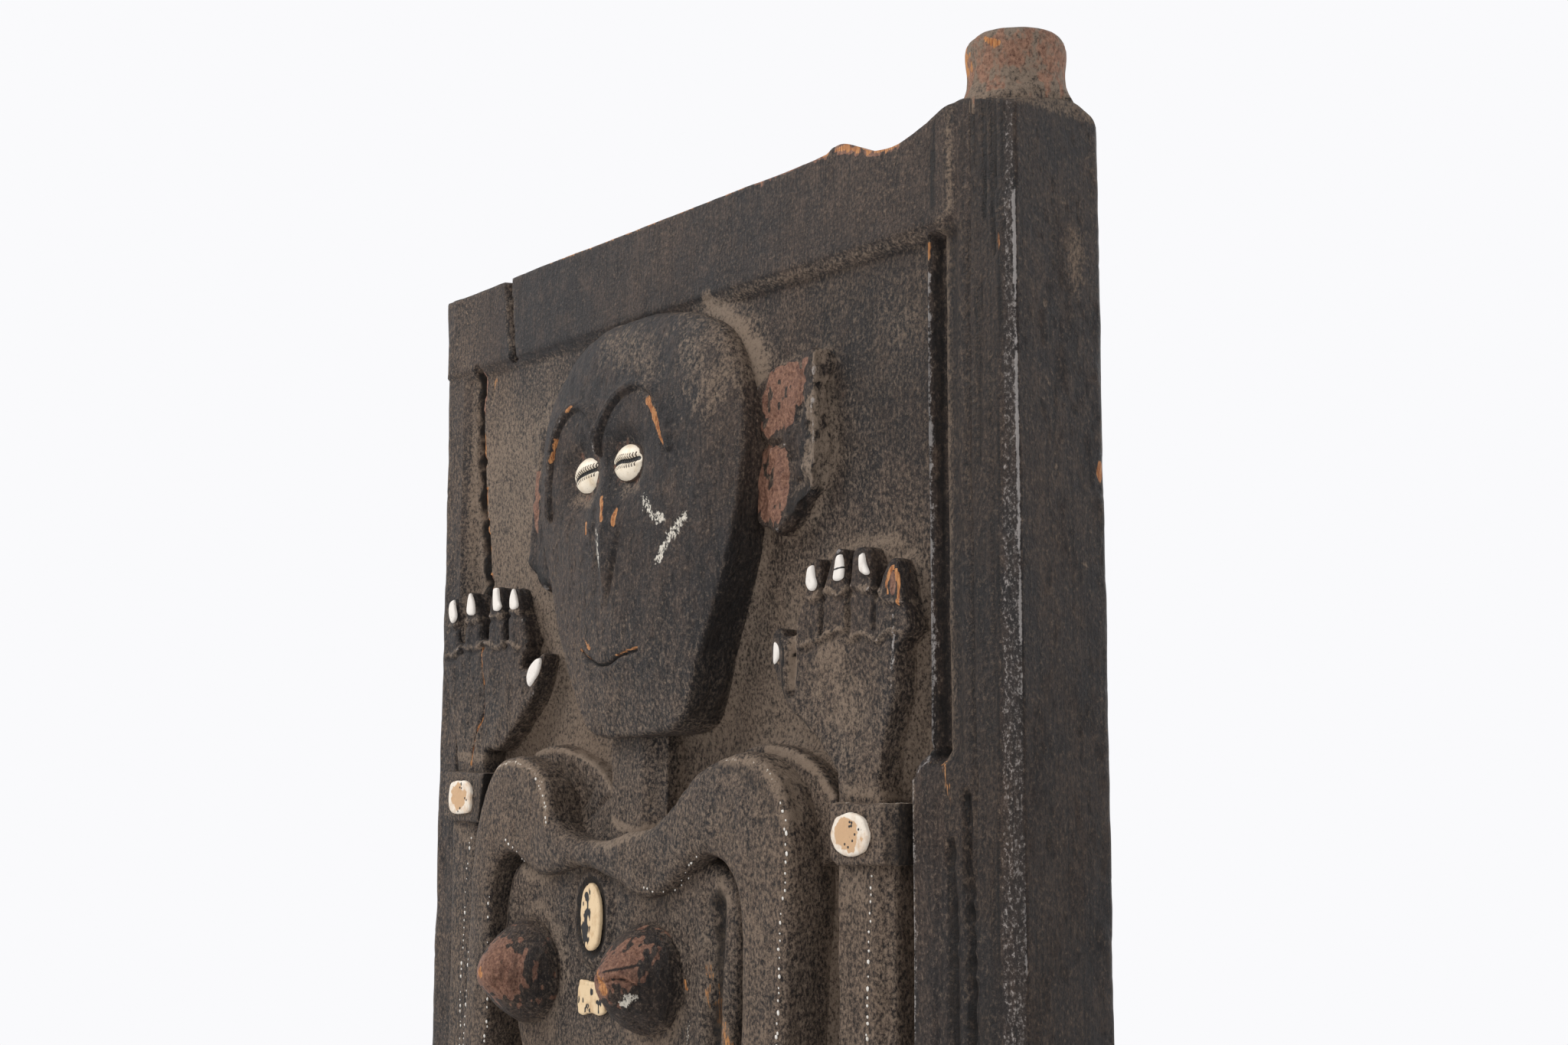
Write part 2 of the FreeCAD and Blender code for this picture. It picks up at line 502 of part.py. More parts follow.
for side, breast_shares in (("right", right_breast_shares), ("left", left_breast_shares)):
    breast = keep(side + "_breast", breast_solid)
    breast.Placement.Base = place("figure", breast_shares, size("torso_proud"))
    carving.append(breast)

# Hands: palm, thumb and four fingers with notched joints; the nail of the right little finger is lost
sunk = []
nail_places = []
half = size("finger_half")
half_tip = half * finger_tip_share
for side, palm_shares, thumb_shares, finger_shares, joint_shares, thumb_nail_shares in (
        ("right", right_palm_shares, right_thumb_shares, right_finger_shares, right_joint_shares,
         right_thumb_nail_shares),
        ("left", left_palm_shares, left_thumb_shares, left_finger_shares, left_joint_shares,
         left_thumb_nail_shares)):
    group = side + "_hand"
    carving.append(figure_relief(side + "_palm", group, palm_shares, "hand_proud", "soft_edge"))
    carving.append(figure_relief(side + "_thumb", group, thumb_shares, "hand_proud", "fine_edge"))
    nail_places.append((side + "_nail_thumb", place(group, thumb_nail_shares), "hand_proud",
                        size(side + "_thumb_turn")))
    for finger, across_share, tip_share in finger_shares:
        tip = place(group, (across_share, tip_share), size("finger_proud"))
        foot = place(group, (across_share, joint_shares[0]), size("finger_proud")).z
        shoulder = tip.z - size("finger_corner")
        finger_points = [FreeCAD.Vector(tip.x + across, tip.y, height) for across, height in (
            (-half, foot), (-half, shoulder), (-half_tip, tip.z), (half_tip, tip.z), (half, shoulder),
            (half, foot))]
        carving.append(relief("{}_{}_finger".format(side, finger), polygon(finger_points),
                              "finger_proud", "fine_edge"))
        nail_lift = FreeCAD.Vector(0, 0, size("nail_setback") + size("nail_half_height"))
        if (side, finger) != ("right", "little"):
            nail_places.append(("{}_nail_{}".format(side, finger), tip - nail_lift, "finger_proud", 0.0))
    first = place(group, (finger_shares[0][1], 0.0)).x - half
    last = place(group, (finger_shares[-1][1], 0.0)).x + half
    for joint_share in joint_shares[1:]:
        valley = place(group, (0.0, joint_share), size("finger_proud") - size("finger_notch"))
        lip = FreeCAD.Vector(0, -size("finger_notch") - size("fine_edge"), size("finger_notch"))
        lower_lip = FreeCAD.Vector(0, lip.y, -lip.z)
        start = FreeCAD.Vector(first - valley.x, 0, 0)
        notch_face = Part.Face(polygon([valley + start, valley + start + lip, valley + start + lower_lip]))
        sunk.append(keep("{}_joint".format(side), notch_face.extrude(FreeCAD.Vector(last - first, 0, 0))))

# Eye sockets and mouth
socket_ball = (size("socket_radius") ** 2 + size("socket_depth") ** 2) / (2 * size("socket_depth"))
for side, eye_shares in (("left", left_eye_shares), ("right", right_eye_shares)):
    socket = doc.addObject("Part::Sphere", side + "_socket")
    bind(socket, {"Radius": "(sizes.socket_radius ^ 2 + sizes.socket_depth ^ 2) / (2 * sizes.socket_depth)"})
    ball_lift = socket_ball - size("socket_depth")
    socket.Placement.Base = place("head", eye_shares, face_proud(eye_shares) + ball_lift)
    sunk.append(socket)
sunk.append(keep("mouth", bead(mouth_shares, size("mouth_radius"))))

# Inlays, each on the flat floor of a pocket that clears it all round
inlays = []
gap = size("inlay_gap")
overrun = size("overrun")
for side, eye_shares in (("left", left_eye_shares), ("right", right_eye_shares)):
    seat = place("head", eye_shares, face_proud(eye_shares) - size("socket_depth") - size("eye_sink"))
    dome = front_bevel(oval_prism(seat - inward * size("eye_height"), size("eye_half_width"),
                                  size("eye_half_height"), size("eye_height")), size("eye_slope"))
    shell = keep(side + "_eye_form", dome)
    slit = doc.addObject("Part::Box", side + "_eye_slit")
    bind(slit, {"Length": "2 * sizes.eye_half_width", "Width": "sizes.slit_depth + sizes.eye_height",
                "Height": "sizes.slit_width"})
    slit_y = size("slit_depth") - 2 * size("eye_height")
    slit.Placement.Base = seat + FreeCAD.Vector(-size("eye_half_width"), slit_y, -size("slit_width") / 2)
    inlays.append(cut(side + "_eye_shell", shell, slit))
    sunk.append(keep(side + "_eye_pocket", oval_prism(
        seat - inward * overrun, size("eye_half_width") + gap, size("eye_half_height") + gap, overrun)))

thickness = size("disc_thickness")
for name, inlay_shares, proud_alias, kind in (
        ("left_wrist_disc", left_disc_shares, "band_proud", "disc"),
        ("right_wrist_disc", right_disc_shares, "band_proud", "disc"),
        ("chest_oval", chest_oval_shares, "torso_proud", "oval")):
    half_width = size(kind + "_half_width")
    half_height = size(kind + "_half_height")
    floor = place("figure", inlay_shares, size(proud_alias) - size("disc_pocket"))
    disc = oval_prism(floor - inward * thickness, half_width, half_height, thickness)
    inlays.append(keep(name, front_bevel(disc, size("inlay_rim"))))
    sunk.append(keep(name + "_pocket", oval_prism(floor - inward * overrun, half_width + gap,
                                                     half_height + gap, overrun)))

square_floor = place("figure", belly_square_shares, size("torso_proud") - size("disc_pocket"))
for name, growth, depth in (("belly_square", 0.0, thickness), ("square_pocket", gap, overrun)):
    half_square = FreeCAD.Vector(size("square_half_width") + growth, depth,
                                 size("square_half_height") + growth)
    plate = Part.makeBox(2 * half_square.x, depth, 2 * half_square.z, square_floor - half_square)
    if name == "belly_square":
        inlays.append(keep(name, front_bevel(plate, size("inlay_rim"))))
    else:
        sunk.append(keep(name, plate))

for name, nail_place, proud_alias, turn in nail_places:
    floor = FreeCAD.Vector(nail_place.x, front_y - size(proud_alias) + size("nail_pocket"), nail_place.z)
    inlays.append(keep(name, nail_prism(floor - inward * size("nail_thickness"), turn, 0.0,
                                        size("nail_thickness"))))
    sunk.append(keep(name + "_pocket", nail_prism(floor - inward * overrun, turn, gap, overrun)))

# The finished plank
raised = join("raised", [frame, post_shoulder, top_pintle, bottom_pintle] + carving)
door_board = cut("door_board", raised, join("sinkings", sunk))
doc.recompute()

# Checks, then one file for each piece
for item in doc.Objects:
    if "Invalid" in item.State or "Error" in item.State:
        raise RuntimeError("{} did not recompute".format(item.Name))
pieces = [door_board] + inlays
for piece in pieces:
    if piece.Shape.isNull() or not piece.Shape.isValid() or len(piece.Shape.Solids) != 1:
        raise RuntimeError("{} is not one valid solid".format(piece.Label))
os.makedirs("parts", exist_ok=True)
for piece in pieces:
    piece.Shape.exportStep("parts/{}.step".format(piece.Label))
print("pieces written:", len(pieces))
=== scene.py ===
import logging
import math
import random
from dataclasses import dataclass, field
from enum import Enum

import bpy
import numpy as np
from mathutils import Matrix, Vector
from mathutils.bvhtree import BVHTree


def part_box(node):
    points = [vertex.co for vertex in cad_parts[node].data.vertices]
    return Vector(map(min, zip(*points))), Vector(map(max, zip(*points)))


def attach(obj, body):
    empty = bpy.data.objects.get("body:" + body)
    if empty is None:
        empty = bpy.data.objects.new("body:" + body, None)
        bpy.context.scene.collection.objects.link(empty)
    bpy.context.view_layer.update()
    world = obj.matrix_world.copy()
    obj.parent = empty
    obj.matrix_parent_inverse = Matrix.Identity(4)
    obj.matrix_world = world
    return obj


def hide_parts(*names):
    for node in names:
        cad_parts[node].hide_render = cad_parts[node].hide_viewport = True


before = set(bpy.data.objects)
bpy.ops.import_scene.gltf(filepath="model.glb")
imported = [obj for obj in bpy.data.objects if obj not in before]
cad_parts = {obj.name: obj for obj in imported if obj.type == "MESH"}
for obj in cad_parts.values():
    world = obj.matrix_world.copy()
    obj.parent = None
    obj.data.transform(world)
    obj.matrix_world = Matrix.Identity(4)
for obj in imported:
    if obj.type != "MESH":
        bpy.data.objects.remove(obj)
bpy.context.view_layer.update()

BODY = "root"
BOARD = "door_board"
# Lengths are in millimetres: X runs from the hinge axis, Y to the back, Z up; the frame plane is at FRONT
MM = 0.001
FRONT = -27.0
LOG = logging.getLogger("granary_door")

Point = tuple[float, float]
Path = tuple[Point, ...]
Triple = tuple[float, float, float]
Values = np.ndarray
Piece = bpy.types.Object
Material = bpy.types.Material
Tree = bpy.types.NodeTree
Socket = bpy.types.NodeSocket


class Layer(Enum):
    """The vertex attributes that say what lies on the wood, and where highlight and shade are painted on it."""

    DUST = "dust"
    # Wear also carries painted highlight and sheen on arrises and edges.
    WEAR_AND_HIGHLIGHT = "wear"
    BARE = "bare"
    CHALK = "chalk"
    RED = "red"
    # Soot also carries painted shade: on right-facing walls, in creases, cracks, grooves and gaps, and under
    # ridges.
    SOOT_AND_SHADE = "soot"


class Slot(Enum):
    """The record's material slots."""

    WOOD = "dark_wood"
    SHELL = "eye_shell"
    PALE = "pale_inlay"
    NAIL = "nail_bone"


# Geometry in the plane of the door, in millimetres

def flowing(points: Path, steps: int = 5, closed: bool = True) -> Path:
    """Draw one smooth line through given points.

    Args:
        points: Points in the plane of the door.
        steps: How many stretches lie between two points.
        closed: Whether the line runs back to its start.

    Returns:
        The points of the smooth line.
    """
    count = len(points)
    spans = count if closed else count - 1
    line = []
    for index in range(spans):
        if closed:
            a, b, c, d = (points[(index + shift) % count] for shift in (-1, 0, 1, 2))
        else:
            a, b, c, d = (points[min(max(index + shift, 0), count - 1)] for shift in (-1, 0, 1, 2))
        for step in range(steps):
            t = step / steps
            line.append(tuple(
                0.5 * (2 * b[k] + (c[k] - a[k]) * t + (2 * a[k] - 5 * b[k] + 4 * c[k] - d[k]) * t ** 2
                       + (3 * b[k] - a[k] - 3 * c[k] + d[k]) * t ** 3) for k in (0, 1)))
    if not closed:
        line.append(points[-1])
    return tuple(line)


def ease(value: Values) -> Values:
    """Ease a share from 0 to 1 without corners."""
    share = np.clip(value, 0.0, 1.0)
    return share * share * (3 - 2 * share)


def near(distance: Values, width: float) -> Values:
    """Return 1 on a line and softly less beside it, down to nothing about twice the width away."""
    return np.exp(-(distance / width) ** 2)


def spot(across: Values, up: Values, radii: Point, reach: float = 1.0) -> Values:
    """Return a soft spot round zero that fades out at its radii, or beyond them with a longer reach."""
    return ease(reach - np.hypot(across / radii[0], up / radii[1]))


def off_line(x: Values, z: Values, path: Path, closed: bool = False) -> Values:
    """Return how far each place lies from a line, in millimetres."""
    ends = list(path) + ([path[0]] if closed else [])
    nearest = np.full(x.shape, 1e9)
    for (ax, az), (bx, bz) in zip(ends, ends[1:]):
        dx, dz = bx - ax, bz - az
        along = np.clip(((x - ax) * dx + (z - az) * dz) / (dx * dx + dz * dz + 1e-9), 0, 1)
        nearest = np.minimum(nearest, (x - ax - along * dx) ** 2 + (z - az - along * dz) ** 2)
    return np.sqrt(nearest)


def within(x: Values, z: Values, outline: Path) -> Values:
    """Say for each place whether an outline holds it."""
    held = np.zeros(x.shape, bool)
    for (ax, az), (bx, bz) in zip(outline, outline[1:] + outline[:1]):
        crossing = (az > z) != (bz > z)
        held ^= crossing & (x < (bx - ax) * (z - az) / (bz - az + 1e-12) + ax)
    return held


def lattice(a: Values, b: Values, c: Values, seed: int) -> Values:
    """Return smooth random values from -1 to 1 on a lattice of unit cells."""
    total = np.zeros(a.shape)
    base = [np.floor(v).astype(np.int64) for v in (a, b, c)]
    part = [ease(v - f) for v, f in zip((a, b, c), base)]
    for corner in range(8):
        bits = (corner & 1, corner >> 1 & 1, corner >> 2 & 1)
        mixed = np.full(a.shape, seed * 7919 + 17, np.int64)
        weight = np.ones(a.shape)
        for value, share, bit, prime in zip(base, part, bits, (73856093, 19349663, 83492791)):
            mixed ^= (value + bit) * prime
            weight = weight * (share if bit else 1 - share)
        mixed = (mixed ^ (mixed >> 13)) * 1274126177 & 0x7FFFFFFF
        mixed = (mixed ^ (mixed >> 11)) & 0xFFFF
        total += weight * (mixed / 32767.5 - 1)
    return total


def unevenness(points: Values, size: Triple, seed: int, octaves: int = 2) -> Values:
    """Return hand-carved unevenness at points, from about -1 to 1.

    Args:
        points: Rows of x, y and z in millimetres.
        size: Width, depth and height of one swell in millimetres.
        seed: Number of the pattern.
        octaves: How many finer patterns are added.
    """
    total = np.zeros(len(points))
    for octave in range(octaves):
        scale = 2.0 ** octave
        cells = [points[:, axis] * scale / size[axis] for axis in range(3)]
        total += lattice(*cells, seed + octave * 31) / scale
    return total


@dataclass(frozen=True)
class Stroke:
    """One stroke of the gouge along a line: it raises or sinks the front of the wood."""

    path: Path
    half_width: float
    rise: float
    closed: bool = False
    flat: float = 0.0

    def lift(self, x: Values, z: Values) -> Values:
        """Return by how much the stroke raises each place."""
        far = off_line(x, z, self.path, self.closed) - self.flat
        return self.rise * ease(1 - far / self.half_width)


@dataclass(frozen=True)
class Hollow:
    """A round hollow or swelling of the front."""

    centre: Point
    radii: Point
    rise: float
    turn: float = 0.0

    def lift(self, x: Values, z: Values) -> Values:
        """Return by how much the hollow raises each place."""
        c, s = math.cos(math.radians(self.turn)), math.sin(math.radians(self.turn))
        across, up = x - self.centre[0], z - self.centre[1]
        far = np.hypot((across * c + up * s) / self.radii[0], (up * c - across * s) / self.radii[1])
        return self.rise * ease(1 - far)


@dataclass(frozen=True)
class Step:
    """A step that raises the wood on one side of a straight line."""

    start: Point
    end: Point
    width: float
    rise: float

    def lift(self, x: Values, z: Values) -> Values:
        """Return by how much the step raises each place on the left of its line."""
        dx, dz = self.end[0] - self.start[0], self.end[1] - self.start[1]
        left = ((z - self.start[1]) * dx - (x - self.start[0]) * dz) / math.hypot(dx, dz)
        return self.rise * ease(left / self.width + 0.5)


@dataclass(frozen=True)
class Shoulder:
    """The rounding of a form along its own outlines."""

    outlines: tuple[Path, ...]
    width: float
    drop: float
    above: float = -1000.0

    def lift(self, x: Values, z: Values) -> Values:
        """Return the drop near the outlines and beyond them."""
        depths = [off_line(x, z, line, True) * np.where(within(x, z, line), 1, -1) for line in self.outlines]
        share = 1 - np.clip(np.max(depths, 0) / self.width, 0, 1)
        return -self.drop * (1 - np.sqrt(np.maximum(1 - share ** 2, 0))) * ease((z - self.above) / 50)


@dataclass(frozen=True)
class Crown:
    """The swelling of a form from its outline to its middle."""

    outline: Path
    width: float
    rise: float

    def lift(self, x: Values, z: Values) -> Values:
        """Return the rise towards the middle."""
        inner = off_line(x, z, self.outline, True) * within(x, z, self.outline)
        return self.rise * (1 - (1 - np.clip(inner / self.width, 0, 1)) ** 2)


@dataclass(frozen=True)
class Stain:
    """A line or patch where dust, wear with painted highlight, bare wood, chalk, or soot with painted shade
    shows.
    """

    layer: Layer
    path: Path
    half_width: float
    strength: float = 1.0
    raggedness: float = 0.35
    closed: bool = False

    def amount(self, places: Values) -> Values:
        """Return how much of the stain each place gets, from 0 to 1; a closed path is filled."""
        x, z = places[:, 0], places[:, 2]
        far = off_line(x, z, self.path, self.closed) / self.half_width
        if self.closed:
            far = np.where(within(x, z, self.path), 0.0, far)
        ragged = unevenness(places, (3.0, 3.0, 6.0), 91) * self.raggedness
        return self.strength * ease(1.35 * (1 - far) + ragged)


def stains_from(rows: dict[Layer, list[tuple]]) -> tuple[Stain, ...]:
    """Return stains from rows of path, half width, strength, raggedness and closing, kept by layer."""
    return tuple(Stain(layer, *row) for layer, group in rows.items() for row in group)


# Width, depth and height in millimetres of one broad swell, one gouge mark, one pit and one patch of grit
SWELL_SIZE = (22, 22, 48)
TOOL_MARK_SIZE = (5.5, 5.5, 13)
PIT_SIZE = (2.2, 2.2, 3.6)
GRIT_SIZE = (9, 9, 16)
TURNED_SIDES = 72


# Work in Blender

def deselect() -> None:
    """Deselect everything, the carried-over nodes too."""
    bpy.ops.object.select_all(action="DESELECT")


def activate(piece: Piece) -> None:
    """Select one piece alone and make it active."""
    deselect()
    piece.select_set(True)
    bpy.context.view_layer.objects.active = piece


def places_of(piece: Piece) -> Values:
    """Return the places of a piece's vertices in millimetres."""
    flat = np.zeros(len(piece.data.vertices) * 3)
    piece.data.vertices.foreach_get("co", flat)
    return flat.reshape(-1, 3) / MM


def normals_of(piece: Piece) -> Values:
    """Return the normals of a piece's vertices."""
    flat = np.zeros(len(piece.data.vertices) * 3)
    piece.data.vertices.foreach_get("normal", flat)
    return flat.reshape(-1, 3)


def put_places(piece: Piece, places: Values) -> None:
    """Move a piece's vertices to places in millimetres."""
    piece.data.vertices.foreach_set("co", (places * MM).ravel())
    piece.data.update()


def extrude(across: float, deep: float, up: float) -> None:
    """Extrude what is selected by a shift in millimetres."""
    shift = (across * MM, deep * MM, up * MM)
    bpy.ops.mesh.extrude_region_move(TRANSFORM_OT_translate={"value": shift})


def close_solid() -> None:
    """Turn all faces outwards and leave edit mode."""
    bpy.ops.mesh.select_all(action="SELECT")
    bpy.ops.mesh.normals_make_consistent(inside=False)
    bpy.ops.object.mode_set(mode="OBJECT")


def board(outline: Path, front: float, back: float) -> Piece:
    """Saw a board to an outline.

    Args:
        outline: The outline in the plane of the door, in millimetres.
        front: Place of the front face along Y.
        back: Place of the back face along Y.

    Returns:
        The new solid.
    """
    deselect()
    bpy.ops.mesh.primitive_circle_add(vertices=len(outline), radius=1.0, fill_type="NGON")
    piece = bpy.context.object
    put_places(piece, np.array([(x, front, z) for x, z in outline]))
    bpy.ops.object.mode_set(mode="EDIT")
    bpy.ops.mesh.select_all(action="SELECT")
    extrude(0, back - front, 0)
    close_solid()
    return piece


def turned(stations: Path) -> Piece:
    """Turn a round form upwards from pairs of radius and height by extruding and resizing its top."""
    deselect()
    radius, height = stations[0]
    bpy.ops.mesh.primitive_circle_add(vertices=TURNED_SIDES, radius=radius * MM, fill_type="NGON",
                                      location=(0, 0, height * MM))
    piece = bpy.context.object
    bpy.ops.object.transform_apply()
    bpy.ops.object.mode_set(mode="EDIT")
    bpy.ops.mesh.select_all(action="SELECT")
    for (old, low), (new, high) in zip(stations, stations[1:]):
        extrude(0, 0, high - low)
        bpy.ops.transform.resize(value=(new / old, new / old, 1.0))
    close_solid()
    return piece


def joined(parts: list[Piece]) -> Piece:
    """Join several forms into one object."""
    activate(parts[0])
    for part in parts:
        part.select_set(True)
    bpy.ops.object.join()
    return parts[0]


def apply_modifier(piece: Piece, kind: str, **settings: object) -> None:
    """Add a modifier with its settings and apply it."""
    activate(piece)
    modifier = piece.modifiers.new(kind.lower(), kind)
    for key, value in settings.items():
        setattr(modifier, key, value)
    bpy.ops.object.modifier_apply(modifier=modifier.name)


def shape_skin(piece: Piece, voxel: float, smoothing: int = 2) -> None:
    """Give joined forms one even skin.

    Args:
        piece: The object whose overlapping forms become one.
        voxel: Width of the skin's faces in millimetres.
        smoothing: How often the skin is smoothed.
    """
    apply_modifier(piece, "REMESH", mode="VOXEL", voxel_size=voxel * MM, use_smooth_shade=True)
    apply_modifier(piece, "SMOOTH", factor=0.5, iterations=smoothing)


def carve_front(piece: Piece, strokes: tuple, front: float, root: float) -> None:
    """Cut strokes into the front of a piece, while its root stays where it is.

    Args:
        piece: The piece.
        strokes: Strokes that say how far each place rises.
        front: Place of the uncut front along Y.
        root: Place along Y from which the wood stays as it is.
    """
    places = places_of(piece)
    lift = sum(stroke.lift(places[:, 0], places[:, 2]) for stroke in strokes)
    share = np.clip((root - places[:, 1]) / (root - front), 0, 1)
    places[:, 1] -= lift * share
    put_places(piece, places)


def roughen(piece: Piece, amounts: Triple, seed: int) -> None:
    """Give a piece the unevenness of adze, gouge and weather along its normals.

    Args:
        piece: The piece.
        amounts: Height in millimetres of broad swells, of tool marks and of pits.
        seed: Number of the pattern.
    """
    places = places_of(piece)
    broad, marks, pits = amounts
    height = broad * unevenness(places, SWELL_SIZE, seed, 2)
    height += marks * unevenness(places, TOOL_MARK_SIZE, seed + 5, 2)
    fine = unevenness(places, PIT_SIZE, seed + 9, 1)
    height -= pits * np.maximum(fine - 0.25, 0) * 1.6
    put_places(piece, places + normals_of(piece) * height[:, None])


@dataclass
class Patina:
    """Dust in hollows, wear and painted highlight on arrises, soot and painted shade on right-facing walls and
    in creases, and what else lies on the wood, kept as vertex attributes.
    """

    hollow_gain: float = 1.5
    wall_soot_and_shade: float = 0.0
    wall_soot_and_shade_below: float = 1000.0
    most_dust: float = 0.5
    most_wear_and_highlight: float = 0.55
    crevice_soot_and_shade: float = 0.45
    grit_soot: float = 0.12
    fine_passes: int = 2
    wide_passes: int = 14

    def bends(self, piece: Piece, places: Values, normals: Values) -> tuple[Values, Values]:
        """Return how hollow each place is, close by and at large: above 0 in a hollow, below on an arris."""
        mesh = piece.data
        count = len(places)
        ends = np.zeros(len(mesh.edges) * 2, np.int32)
        mesh.edges.foreach_get("vertices", ends)
        a, b = ends[0::2], ends[1::2]
        links = np.maximum(np.bincount(a, minlength=count) + np.bincount(b, minlength=count), 1)

        def averaged(values: Values) -> Values:
            """Return the mean of each vertex's neighbours."""
            return (np.bincount(a, values[b], count) + np.bincount(b, values[a], count)) / links

        around = np.stack([averaged(places[:, axis]) for axis in range(3)], 1)
        reach = np.linalg.norm(places[a] - places[b], axis=1).mean()
        fine = ((around - places) * normals).sum(1) / reach
        for _ in range(self.fine_passes):
            fine = (fine + averaged(fine)) / 2
        wide = fine
        for _ in range(self.wide_passes):
            wide = averaged(wide)
        return fine, wide

    def lay(self, piece: Piece, stains: tuple = (), extra: dict | None = None) -> None:
        """Work the layers out for a piece and write them to its mesh.

        Args:
            piece: The finished mesh.
            stains: Stains of this piece.
            extra: More amounts for a layer, one value for each vertex.
        """
        places, normals = places_of(piece), normals_of(piece)
        fine, wide = self.bends(piece, places, normals)
        grit = unevenness(places, GRIT_SIZE, 41, 3)
        # Right-facing walls below a height are painted darker: painted shade along with soot.
        right_walls_in_shade = ease((normals[:, 0] - 0.45) / 0.3) * ease((self.wall_soot_and_shade_below - places[:, 2]) / 60)
        layers = {layer: np.zeros(len(places)) for layer in Layer}
        layers[Layer.DUST] = self.most_dust * ease((wide * 9 * self.hollow_gain + 0.2 * grit) * 1.1)
        # Convex arrises are painted pale: painted highlight along with wear.
        layers[Layer.WEAR_AND_HIGHLIGHT] = self.most_wear_and_highlight * ease(-fine * 4.0 - 0.45 + 0.5 * grit)
        layers[Layer.SOOT_AND_SHADE] = self.wall_soot_and_shade * right_walls_in_shade
        # Creases are painted darker: painted shade along with soot; the grit adds random dark specks.
        layers[Layer.SOOT_AND_SHADE] += self.crevice_soot_and_shade * ease(fine * 6 - 0.4) + self.grit_soot * ease(grit)
        for stain in stains:
            layers[stain.layer] = np.maximum(layers[stain.layer], stain.amount(places))
        for layer, values in (extra or {}).items():
            layers[layer] = np.maximum(layers[layer], values)
        for layer, values in layers.items():
            attribute = piece.data.attributes.new(layer.value, "FLOAT", "POINT")
            attribute.data.foreach_set("value", np.clip(values, 0, 1).astype(np.float32))


# Finishes

def linear(colour: str) -> tuple[float, float, float, float]:
    """Turn an sRGB hex value into a linear colour."""
    parts = [int(colour[start:start + 2], 16) / 255 for start in (1, 3, 5)]
    return tuple(p / 12.92 if p <= 0.04045 else ((p + 0.055) / 1.055) ** 2.4 for p in parts) + (1.0,)


def add_node(tree: Tree, kind: str, inputs: dict[int | str, object], output: int | str | None = 0,
             **settings: object) -> Socket | None:
    """Add a node with its settings and links.

    Args:
        tree: The node tree.
        kind: The node's type, without the words that all shader nodes start with.
        inputs: For each input, by number or name, the socket that feeds it or the value that it keeps.
        output: Number or name of the output that is wanted, or None.
        **settings: The node's own properties.

    Returns:
        The wanted output.
    """
    node = tree.nodes.new("ShaderNode" + kind)
    for key, value in settings.items():
        setattr(node, key, value)
    for key, value in inputs.items():
        if isinstance(value, Socket):
            tree.links.new(value, node.inputs[key])
        else:
            node.inputs[key].default_value = value
    return None if output is None else node.outputs[output]


# A colour mix takes its share at 0 and its colours at 6 and 7, and gives the result at 2
# A map range takes its value at 0, its old range at 1 and 2 and its new one, else 0 to 1, at 3 and 4
RGBA = {"data_type": "RGBA"}
SMOOTH = {"interpolation_type": "SMOOTHSTEP"}


def start_material(name: str) -> tuple[Material, Tree, Socket]:
    """Start a material, and return it, its empty node tree and the socket of places in the object."""
    material = bpy.data.materials.new(name)
    material.use_nodes = True
    tree = material.node_tree
    tree.nodes.clear()
    return material, tree, add_node(tree, "TexCoord", {}, "Object")


def marks(tree: Tree, where: Socket, size: Triple, detail: float = 5.0, roughness: float = 0.6) -> Socket:
    """Make cloudy marks whose width, depth and height are real sizes in millimetres."""
    scale = tuple(1000 / length for length in size)
    place = add_node(tree, "Mapping", {"Vector": where, "Scale": scale})
    return add_node(tree, "TexNoise",
                    {"Vector": place, "Scale": 1.0, "Detail": detail, "Roughness": roughness})


def laid(tree: Tree, layer: Layer, noise: Socket, ragged: float, low: float = 0.38,
         high: float = 0.62) -> Socket:
    """Return how much of a layer covers the surface, with an edge that a noise makes ragged."""
    amount = add_node(tree, "Attribute", {}, "Fac", attribute_name=layer.value)
    shaken = add_node(tree, "Math", {0: noise, 1: ragged, 2: amount}, operation="MULTIPLY_ADD")
    middle = ragged / 2
    return add_node(tree, "MapRange", {0: shaken, 1: low + middle, 2: high + middle}, **SMOOTH)


